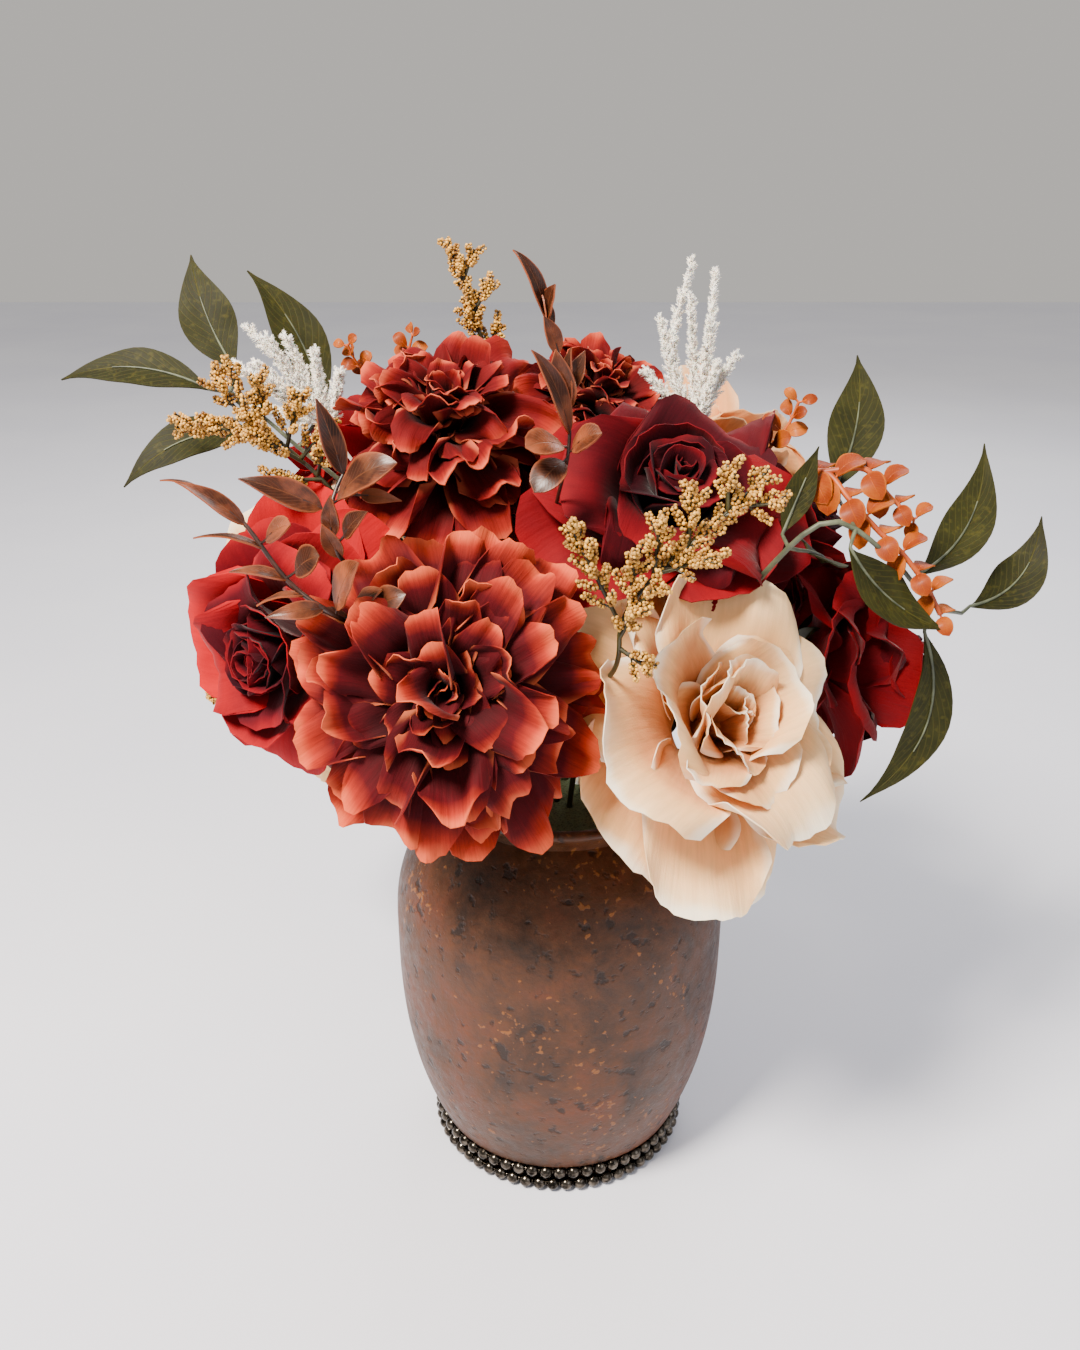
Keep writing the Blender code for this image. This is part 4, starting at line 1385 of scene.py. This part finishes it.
def plume_tool(finish: bpy.types.Material, seed: int) -> NodeTool:
    """The tree that bristles splines with fine tapering hairs that lean towards the tip.

    Args:
        finish: The hairs' material.
        seed: Fixes how each hair leans and how long it is.

    Returns:
        The tool, which runs on a curve of one spline for each tuft.
    """
    tool = NodeTool(f"plume_{seed}", {"Spacing": 0.55 * MM, "Hair Length": 2.1 * MM,
                                      "Hair Radius": 0.36 * MM, "Hairs": 7, "Seed": seed})
    node = partial(add_node, tool.tree)
    kept = node("GeometryNodeCaptureAttribute", {0: tool.inputs[0]})
    kept.capture_items.new("FLOAT", "Place")
    feed(tool.tree, kept, {1: node("GeometryNodeSplineParameter").outputs["Factor"]})
    spots = node("GeometryNodeCurveToPoints", {"Curve": kept, "Length": tool.inputs["Spacing"]},
                 mode="LENGTH")
    tufts = node("GeometryNodeDuplicateElements", {"Geometry": spots, "Amount": tool.inputs["Hairs"]},
                 domain="POINT")
    tilt = node("FunctionNodeRandomValue",
                {0: (0.30, 0.0, 0.0), 1: (0.95, 0.0, 2 * math.pi), 8: tool.inputs["Seed"]},
                data_type="FLOAT_VECTOR")
    spin = node("FunctionNodeEulerToRotation", {0: tilt})
    way = node("FunctionNodeRotateRotation", {0: spots.outputs["Rotation"], 1: spin}, rotation_space="LOCAL")
    hair = node("GeometryNodeMeshCone", {0: 3, 1: 1, 2: 1, 3: 0.0, 4: tool.inputs["Hair Radius"],
                                         5: tool.inputs["Hair Length"]})
    size = node("FunctionNodeRandomValue", {2: 0.45, 3: 1.1, 8: tool.inputs["Seed"]})
    taper = node("ShaderNodeMapRange", {"Value": kept.outputs[1], "From Min": 0.5, "From Max": 1.0,
                                        "To Min": 1.0, "To Max": 0.45})
    scale = node("ShaderNodeMath", {0: size.outputs[1], 1: taper}, operation="MULTIPLY")
    hairs = node("GeometryNodeInstanceOnPoints", {"Points": tufts, "Instance": hair, "Rotation": way,
                                                  "Scale": scale})
    tool.finish(hairs, finish)
    return tool


def bead_tool(finish: bpy.types.Material, name: str, count: int, radius: float, bead: float,
              turn: float) -> NodeTool:
    """The tree that strings round beads on a ring.

    Args:
        finish: The beads' material.
        name: The tree's name.
        count: How many beads the ring holds.
        radius: The ring's radius.
        bead: A bead's radius.
        turn: How far the ring is turned, in radians.

    Returns:
        The tool. The carrier that it runs on is not read.
    """
    tool = NodeTool(name, {"Ring Radius": radius, "Bead Radius": bead, "Beads": count, "Turn": turn})
    node = partial(add_node, tool.tree)
    ring = node("GeometryNodeCurvePrimitiveCircle", {0: tool.inputs["Beads"], 4: tool.inputs["Ring Radius"]})
    spots = node("GeometryNodeCurveToPoints", {"Curve": ring, "Count": tool.inputs["Beads"]})
    ball = node("GeometryNodeMeshUVSphere", {0: 14, 1: 8, 2: tool.inputs["Bead Radius"]})
    beads = node("GeometryNodeInstanceOnPoints", {"Points": spots, "Instance": ball,
                                                  "Rotation": spots.outputs["Rotation"]})
    angle = node("ShaderNodeCombineXYZ", {2: tool.inputs["Turn"]})
    turned = node("GeometryNodeTransform", {"Geometry": beads, "Rotation": angle})
    thread = node("GeometryNodeCurvePrimitiveCircle", {0: 6, 4: 0.9 * MM})
    loop = node("GeometryNodeCurveToMesh", {0: ring, 1: thread})
    both = node("GeometryNodeJoinGeometry", {0: turned})
    feed(tool.tree, both, {0: loop})
    tool.finish(both, finish)
    return tool


# ---------------------------------------------------------------------------------------------
# Berry sprigs and plumes
# ---------------------------------------------------------------------------------------------


@dataclass(frozen=True)
class Limb:
    """A side branch of a berry sprig or plume, placed as a Leaflet is. bend lifts its middle off
    the straight line by a share of its length."""

    back: float
    clock: float
    lean: float
    length: float
    bend: float = 0.0

    def path(self, stem: Array, count: int = 12) -> Array:
        """The branch's centre line.

        Args:
            stem: The stem's evenly spaced points.
            count: How many points to return.

        Returns:
            The branch's points, from its place on the stem.
        """
        root = station(stem, self.back)
        way = clock_way(self.clock, self.lean)
        tip = root + way * self.length * MM
        lift = np.cross(way, [0.0, -1.0, 0.0]) * self.bend * self.length * MM
        return smooth_path([root, (root + tip) / 2 + lift, tip], count)


def shoot_way(branch: Array, k: int, turn: float, lean: float) -> Array:
    """The direction of a shoot that leaves a branch.

    Args:
        branch: The branch's points.
        k: The number of the point that it leaves from.
        turn: Its angle round the branch, in radians.
        lean: Its angle from the branch, in degrees.

    Returns:
        A unit vector.
    """
    tangents, u, v = carried_frames(branch)
    out = math.cos(turn) * u[k] + math.sin(turn) * v[k]
    return tangents[k] * math.cos(math.radians(lean)) + out * math.sin(math.radians(lean))


@dataclass
class BerrySprig:
    """A sprig of moulded gold berries: olive branches that end in short berry-covered spikes.

    crown is the length of the stem's end that bears spikes, and spike a spike's length, both in
    millimetres. thick is the radius that the berries sit on, and gap how far apart the spikes are.
    """

    node: str
    path: Array
    crown: float
    limbs: Sequence[Limb]
    seed: int
    spike: float = 9.0
    thick: float = 1.2 * MM
    gap: float = 2.4 * MM

    def make(self) -> None:
        """Builds the branches as one piece and the berries as another."""
        rng = np.random.default_rng(self.seed)
        stem = Patchwork()
        stem.add_tube(self.path, np.linspace(1.3, 0.6, len(self.path)) * MM, 7)
        pitch = np.linalg.norm(self.path[1] - self.path[0])
        crown = self.path[-max(5, round(self.crown * MM / pitch)):]
        branches = [crown] + [limb.path(self.path) for limb in self.limbs]
        for branch in branches[1:]:
            stem.add_tube(branch, np.linspace(0.8, 0.45, len(branch)) * MM, 6)
        lines = []
        for branch in branches:
            lines.append(self.covered(branch[-4:]))
            length = np.linalg.norm(np.diff(branch, axis=0), axis=1).sum()
            count = max(2, int(length / self.gap))
            for i in range(count):
                k = int((0.22 + 0.76 * i / count) * (len(branch) - 1))
                turn = i * GOLDEN_ANGLE + rng.uniform(-0.3, 0.3)
                way = shoot_way(branch, k, turn, rng.uniform(24, 44))
                reach = self.spike * MM * rng.uniform(0.7, 1.15) * (1 - 0.35 * i / count)
                root = branch[k] + way * 0.8 * MM
                twig = np.linspace(root, root + way * reach, 6)
                stem.add_tube(twig, 0.35 * MM, 5)
                lines.append(self.covered(twig[1:]))
        deliver(stem.build(f"{self.node}_wire", WIRE_OLIVE.material()), "gold", self.node)
        carrier = spline_carrier(f"{self.node}_lines", lines)
        piece = berry_tool(BERRY_GOLD.material(), self.seed).run(carrier, f"{self.node}_berries")
        deliver(piece, "gold")

    def covered(self, line: Array) -> tuple[Array, Array]:
        """A spike's line and its radii: full along its middle, narrower at both ends."""
        return line, self.thick * (0.55 + 0.45 * np.sin(np.linspace(0.35, 2.9, len(line))))


@dataclass
class Plume:
    """A dyed grass plume: a stem with spikes of small tufts that bristle with fine flocked hairs.

    tuft is a tuft's length, and bare how many tufts are left out at the foot of each spike.
    """

    node: str
    path: Array
    limbs: Sequence[Limb]
    seed: int
    tuft: float = 8.0 * MM
    bare: int = 12

    def make(self) -> None:
        """Builds the stem as one piece and the hairs as another."""
        stem = Patchwork()
        stem.add_tube(self.path, np.linspace(1.2, 0.6, len(self.path)) * MM, 7)
        lines = []
        rng = np.random.default_rng(self.seed)
        for limb in self.limbs:
            spike = limb.path(self.path, 40)
            stem.add_tube(spike, np.linspace(0.6, 0.25, len(spike)) * MM, 5)
            for i in range(self.bare, 2 * len(spike)):
                k = i // 2
                turn = i * GOLDEN_ANGLE + rng.uniform(-0.4, 0.4)
                way = shoot_way(spike, k, turn, rng.uniform(22, 42))
                reach = self.tuft * rng.uniform(0.75, 1.1) * (1.05 - 0.5 * k / len(spike))
                lines.append((np.linspace(spike[k], spike[k] + way * reach, 4), np.ones(4)))
        deliver(stem.build(f"{self.node}_wire", PLUME_WHITE.material()), "pampas", self.node)
        carrier = spline_carrier(f"{self.node}_lines", lines)
        piece = plume_tool(PLUME_WHITE.material(), self.seed).run(carrier, f"{self.node}_hairs")
        deliver(piece, "pampas")


@dataclass
class Sprigs:
    """Every moulded sprig: its stem's way points above the lip, and what grows on it."""

    vessel: Vessel

    def bronze(self) -> None:
        """The three bronze sprigs of pointed and coin-shaped leaves."""
        front = [
            (-0.050, -0.030, 0.062), (-0.068, -0.078, 0.095), (-0.084, -0.080, 0.108),
            (-0.098, -0.075, 0.126), (-0.109, -0.070, 0.133),
        ]
        side = [
            (-0.050, -0.020, 0.070), (-0.070, -0.068, 0.112), (-0.073, -0.061, 0.128),
            (-0.070, -0.056, 0.136),
        ]
        top = [
            (-0.004, -0.022, 0.098), (0.001, -0.045, 0.140), (0.001, -0.042, 0.154),
            (-0.001, -0.040, 0.167), (-0.006, -0.034, 0.181),
        ]
        bronze = partial(LeafySprig, slot="bronze", wire=WIRE_BRONZE, finish=BRONZE_LEAF)
        bronze("bronze_front", path=self.vessel.route(front, 80), nodes=("bronze_front",), leaves=(
            Leaflet(0, -70, 5, 15, 3.4, turn=45),
            Leaflet(15, -56, 0, 24, 7.0, turn=15),
            Leaflet(24, -79, 5, 21, 4.6, turn=35),
            Leaflet(22, 56, 20, 11, 9.5, ROUND_BLADE, 0, 0.10, 3),
            Leaflet(36, -81, 0, 18, 5.0, turn=25),
            Leaflet(35, 52, 25, 12, 10.5, ROUND_BLADE, 10, 0.12, 5),
            Leaflet(43, -99, 10, 15, 5.0, turn=30),
            Leaflet(50, -94, 15, 18, 6.0, turn=-20),
            Leaflet(54, 26, 20, 21, 12.5, OVAL_BLADE, 0, 0.12, 2),
            Leaflet(58, 50, 10, 12, 8.5, OVAL_BLADE, -10, 0.1, 5),
            Leaflet(60, 60, 15, 13, 10, OVAL_BLADE, 10, 0.1, 10),
            Leaflet(62, -60, 20, 13, 6.0, turn=15),
        )).make()
        bronze("bronze_side", path=self.vessel.route(side, 60), nodes=("bronze_side",), leaves=(
            Leaflet(0, -16, 0, 25, 7.5, turn=20),
            Leaflet(10, 56, 15, 25, 13.5, OVAL_BLADE, -8, 0.14, 2),
            Leaflet(13, -66, 10, 27, 9.5, turn=-10, stalk=3),
            Leaflet(6, 98, 0, 13, 5.0, turn=20, stalk=8),
            Leaflet(22, 4, 15, 15, 6.0, turn=20),
            Leaflet(25, 42, 25, 14, 7.5, turn=10, stalk=6),
            Leaflet(30, -20, 20, 14, 6.0, turn=-30),
        )).make()
        thin = partial(bronze, radius=1.0 * MM)
        thin("bronze_top", path=self.vessel.route(top, 80), nodes=("bronze_top",), leaves=(
            Leaflet(0, -27, 0, 23, 6.5, turn=30, bow=0.16),
            Leaflet(1, 12, 12, 12, 9.0, turn=-35),
            Leaflet(4, -14, 0, 11, 5.0, turn=50),
            Leaflet(12, -22, 10, 13, 6.0, turn=20),
            Leaflet(38, -24, 8, 30, 8.0, turn=35, bow=0.14),
            Leaflet(30, 2, 5, 20, 6.5, turn=-30),
            Leaflet(30, -12, 14, 21, 8.5, turn=-10),
            Leaflet(24, 24, 0, 14, 6.0, turn=30),
            Leaflet(42, -82, 35, 15, 11.0, ROUND_BLADE, 0, 0.15, 2),
            Leaflet(44, 52, 35, 14, 10.0, ROUND_BLADE, 10, 0.15, 2),
            Leaflet(46, -130, 35, 15, 11.0, ROUND_BLADE, -10, 0.15, 2),
        )).make()

    def coral(self) -> None:
        """The three coral sprigs of small paired leaves, two of which fork."""
        right = [
            (0.064, -0.008, 0.082), (0.074, -0.025, 0.119), (0.085, -0.035, 0.132), (0.093, -0.045, 0.125),
            (0.102, -0.050, 0.116), (0.110, -0.054, 0.109), (0.118, -0.056, 0.099), (0.123, -0.058, 0.090),
        ]
        up = [(0.042, 0.016, 0.080), (0.072, 0.002, 0.128), (0.080, 0.000, 0.140), (0.083, 0.000, 0.148)]
        top = [
            (-0.040, 0.036, 0.090), (-0.066, 0.038, 0.140), (-0.076, 0.032, 0.156), (-0.079, 0.030, 0.163),
        ]
        main = self.vessel.route(right, 110)
        side = smooth_path([station(main, 62), *(self.vessel.above_lip(p) for p in (
            (0.098, -0.040, 0.134), (0.106, -0.044, 0.126), (0.114, -0.047, 0.119)))], 20)
        low = self.vessel.route(top, 70)
        fork = smooth_path([station(low, 30), self.vessel.above_lip((-0.060, 0.040, 0.152)),
                            self.vessel.above_lip((-0.056, 0.040, 0.165))], 16)
        coral = partial(LeafySprig, slot="coral", wire=WIRE_CORAL, finish=CORAL_LEAF)
        for name, path, leaves, radius, nodes in (
            ("coral_right", main, paired_leaves(9, 66, 125, 11.5, 9.5), 1.7, ("coral_right",)),
            ("coral_fork", side, paired_leaves(4, 22, 120, 10.5, 8.5), 1.1, ()),
            ("coral_up", self.vessel.route(up, 60), paired_leaves(4, 18, 15, 9, 6.5), 1.1, ("coral_up",)),
            ("coral_top", low, paired_leaves(4, 14, -20, 7, 6.0), 0.9, ("coral_top",)),
            ("coral_top_fork", fork, paired_leaves(3, 10, 20, 8, 6.0), 0.9, ()),
        ):
            coral(name, path=path, leaves=leaves, radius=radius * MM, nodes=nodes).make()

    def gold(self) -> None:
        """The five berry sprigs."""
        left = [
            (-0.066, 0.008, 0.080), (-0.079, -0.010, 0.115), (-0.092, -0.012, 0.131),
            (-0.106, -0.012, 0.143), (-0.113, -0.010, 0.148), (-0.120, -0.010, 0.160),
        ]
        top = [
            (-0.020, 0.032, 0.070), (-0.026, 0.042, 0.140), (-0.032, 0.040, 0.171), (-0.042, 0.040, 0.200),
        ]
        front = [
            (0.010, -0.030, 0.044), (0.016, -0.078, 0.080), (0.017, -0.086, 0.098), (0.025, -0.084, 0.110),
            (0.039, -0.080, 0.122), (0.052, -0.076, 0.133), (0.061, -0.072, 0.142),
        ]
        low = [(-0.068, -0.006, 0.014), (-0.104, 0.002, 0.016), (-0.135, -0.002, 0.036)]
        back = [(0.016, 0.052, 0.044), (0.026, 0.108, 0.082), (0.034, 0.124, 0.104)]
        BerrySprig("gold_left", self.vessel.route(left, 80), 14, (
            Limb(20, -95, 10, 25), Limb(18, -12, 0, 18), Limb(27, 0, 12, 20), Limb(30, -78, 14, 26),
            Limb(36, 18, 15, 22), Limb(34, -40, 25, 20), Limb(42, 42, 20, 20), Limb(44, -50, 25, 24),
            Limb(50, 20, 30, 22), Limb(52, -85, 20, 20),
        ), 41).make()
        BerrySprig("gold_top", self.vessel.route(top, 70), 52, (
            Limb(16, 22, 0, 12), Limb(28, 30, 0, 14), Limb(36, -28, 0, 12), Limb(44, 26, 0, 13),
        ), 42, 7.0, 1.15 * MM, 2.1 * MM).make()
        BerrySprig("gold_front", self.vessel.route(front, 90), 60, (
            Limb(66, -26, 5, 37), Limb(60, 4, 10, 20), Limb(48, 4, 5, 20), Limb(34, 2, 0, 18),
            Limb(18, -4, 0, 14), Limb(16, 82, 10, 15), Limb(46, 66, 20, 20), Limb(62, 40, 25, 18),
            Limb(70, 20, 30, 14), Limb(74, 120, 25, 12),
        ), 43).make()
        BerrySprig("gold_low", self.vessel.route(low, 50), 10, (Limb(8, -60, 10, 9),), 44, 5.0).make()
        BerrySprig("gold_back", self.vessel.route(back, 60), 30, (
            Limb(30, -40, -25, 22), Limb(26, 40, -25, 22), Limb(18, 0, -35, 18), Limb(34, 80, -20, 18),
        ), 45).make()

    def plumes(self) -> None:
        """The two white plumes."""
        left = [(-0.062, 0.030, 0.092), (-0.080, 0.026, 0.122), (-0.089, 0.020, 0.138)]
        right = [(0.024, 0.028, 0.080), (0.044, 0.028, 0.112), (0.051, 0.031, 0.132)]
        Plume("pampas_left", self.vessel.route(left, 60), (
            Limb(0, -36, 0, 40, 0.04), Limb(2, -54, 5, 36), Limb(4, -20, 5, 34), Limb(0, -44, 15, 30),
            Limb(3, -4, 5, 26), Limb(4, -70, 10, 26), Limb(6, 14, 8, 22), Limb(2, -28, 12, 36),
        ), 51, 6.0 * MM).make()
        Plume("pampas_right", self.vessel.route(right, 60), (
            Limb(0, -4, 0, 60, -0.13), Limb(0, -5, 3, 48), Limb(0, 5, -3, 56, 0.02),
            Limb(0, -20, 0, 42, -0.05), Limb(2, 25, 5, 32, -0.04), Limb(4, -36, 5, 31, 0.05),
            Limb(0, 4, 10, 40), Limb(4, 14, 12, 30),
        ), 52, 5.6 * MM).make()


# ---------------------------------------------------------------------------------------------
# Vase, bead strings, stage
# ---------------------------------------------------------------------------------------------


@dataclass
class VaseShell:
    """The turned vase in its mottled rust glaze: a step at the foot for the beads, a full belly, a
    drawn-in shoulder and a rolled lip. Its height and belly come from the frame."""

    foot_radius: float = 48.4 * MM
    skirt_radius: float = 52.4 * MM
    neck_radius: float = 43.0 * MM
    lip_radius: float = 46.5 * MM
    lip_height: float = 9.0 * MM
    belly: tuple[float, float] = (98 * MM, 104 * MM)
    wall: float = 4.0 * MM
    floor: float = 6.0 * MM
    taper_power: float = 2.6
    shoulder_power: float = 2.5
    segments: int = 160

    def profile(self) -> Array:
        """Draws the shell's section: up the outside, over the lip and down the inside.

        Returns:
            The radius and height of every ring.
        """
        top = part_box("vase")[1]
        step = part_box("beads_upper")[1].z + 0.3 * MM
        neck = top.z - self.lip_height
        rise = np.linspace(step, self.belly[0], 26)
        share = (rise - step) / (self.belly[0] - step)
        taper = self.skirt_radius + (top.x - self.skirt_radius) * (1 - (1 - share) ** self.taper_power)
        high = np.linspace(self.belly[1], neck, 24)
        share = (high - self.belly[1]) / (neck - self.belly[1])
        shoulder = top.x - (top.x - self.neck_radius) * share**self.shoulder_power
        body = np.r_[np.c_[taper, rise], np.c_[shoulder, high]]
        turn = np.linspace(-0.4 * math.pi, 0.9 * math.pi, 12)
        roll = self.wall * 0.55
        lip = np.c_[self.lip_radius - roll + roll * np.cos(turn), top.z - roll + roll * np.sin(turn)]
        foot = np.array([
            (self.foot_radius - 1.5 * MM, 0), (self.foot_radius, 1.0 * MM), (self.foot_radius, step),
        ])
        inside = body[::-1] - [self.wall, 0]
        base = np.array([(self.foot_radius - self.wall, step), (self.foot_radius - self.wall, self.floor)])
        return np.vstack([foot, body, lip, inside, base])

    def make(self) -> None:
        """Builds the shell."""
        profile = self.profile()
        turn = np.linspace(0, 2 * math.pi, self.segments, endpoint=False)
        ring = np.stack([np.cos(turn), np.sin(turn), 0 * turn], -1)
        grid = profile[:, None, :1] * ring[None] + profile[:, None, 1:] * UP
        shell = Patchwork()
        shell.add_rings(grid, profile[[0, -1], 1:] * UP)
        deliver(shell.build("vase_shell", RustGlaze().material()), "rust_glaze", "vase")


@dataclass
class BeadStrings:
    """Two strings of round beads round the foot, the upper one set half a bead on."""

    nodes: tuple[str, str] = ("beads_lower", "beads_upper")
    touch: float = 1.01

    def make(self) -> None:
        """Builds both strings."""
        for number, node in enumerate(self.nodes):
            low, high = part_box(node)
            bead = (high.z - low.z) / 2
            radius = high.x - bead
            count = int(2 * math.pi * radius / (2 * bead))
            tool = bead_tool(Pewter().material(), node, count, radius, bead * self.touch,
                             number * math.pi / count)
            piece = tool.run(spline_carrier(f"{node}_carrier", []), f"{node}_string")
            for vertex in piece.data.vertices:
                vertex.co.z += low.z + bead
            deliver(piece, "dark_metal", node)


@dataclass
class Studio:
    """A pale floor, soft lights and the camera."""

    floor_size: float = 6.0
    eye: tuple[float, float, float] = (-0.008, -0.442, 0.398)
    pitch: float = 23.2
    lens: float = 33.33
    aim: tuple[float, float, float] = (0, 0, 0.2)
    floor_finish: MouldedPlastic = MouldedPlastic("matt_white_floor", "#dfe1ee", "#e5e7f2", 0.55, 250.0)

    def lamp(self, name: str, place: Sequence[float], size: float, power: float, colour: str) -> None:
        """Adds a soft square light that looks at the middle of the arrangement.

        Args:
            name: The light's name.
            place: Where it stands.
            size: The length of its side.
            power: Its power in watts.
            colour: Its colour.
        """
        data = bpy.data.lights.new(name, "AREA")
        data.size = size
        data.energy = power
        data.color = linear(colour)[:3]
        light = bpy.data.objects.new(name, data)
        light.location = place
        way = Vector(self.aim) - Vector(place)
        light.rotation_euler = way.to_track_quat("-Z", "Y").to_euler()
        bpy.context.scene.collection.objects.link(light)

    def make(self) -> None:
        """Builds the stage."""
        floor = Patchwork()
        reach = self.floor_size / 2
        corners = np.array([(-reach, -reach, 0), (reach, -reach, 0), (reach, reach, 0), (-reach, reach, 0)])
        floor.add(corners, np.zeros_like(corners), np.array([[0, 1, 2, 3]]))
        floor.build("floor", self.floor_finish.material())
        world = bpy.data.worlds.new("soft_studio")
        world.use_nodes = True
        sky = world.node_tree.nodes["Background"]
        sky.inputs["Color"].default_value = linear("#d9d5d0")
        sky.inputs["Strength"].default_value = 0.8
        bpy.context.scene.world = world
        self.lamp("key", (-0.55, -0.60, 1.25), 0.35, 62, "#fff4e6")
        self.lamp("fill", (1.1, -0.9, 0.9), 1.2, 9, "#eef2ff")
        self.lamp("back", (0.3, 1.1, 1.1), 0.9, 12, "#ffffff")
        lens = bpy.data.cameras.new("view")
        lens.lens = self.lens
        lens.sensor_width = 36
        camera = bpy.data.objects.new("view", lens)
        camera.location = self.eye
        camera.rotation_euler = (math.radians(90 - self.pitch), 0, 0)
        bpy.context.scene.collection.objects.link(camera)
        bpy.context.scene.camera = camera


def main() -> None:
    """Builds the arrangement from the foot up, then the stage."""
    logging.basicConfig(level=logging.INFO, format="%(name)s: %(message)s")
    vessel = Vessel()
    VaseShell().make()
    BeadStrings().make()
    BloomStems().dress()
    for bloom in blooms():
        bloom.make()
    WillowSprays(vessel).make()
    sprigs = Sprigs(vessel)
    sprigs.bronze()
    sprigs.coral()
    sprigs.gold()
    sprigs.plumes()
    Studio().make()
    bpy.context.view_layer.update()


if __name__ == "__main__":
    main()
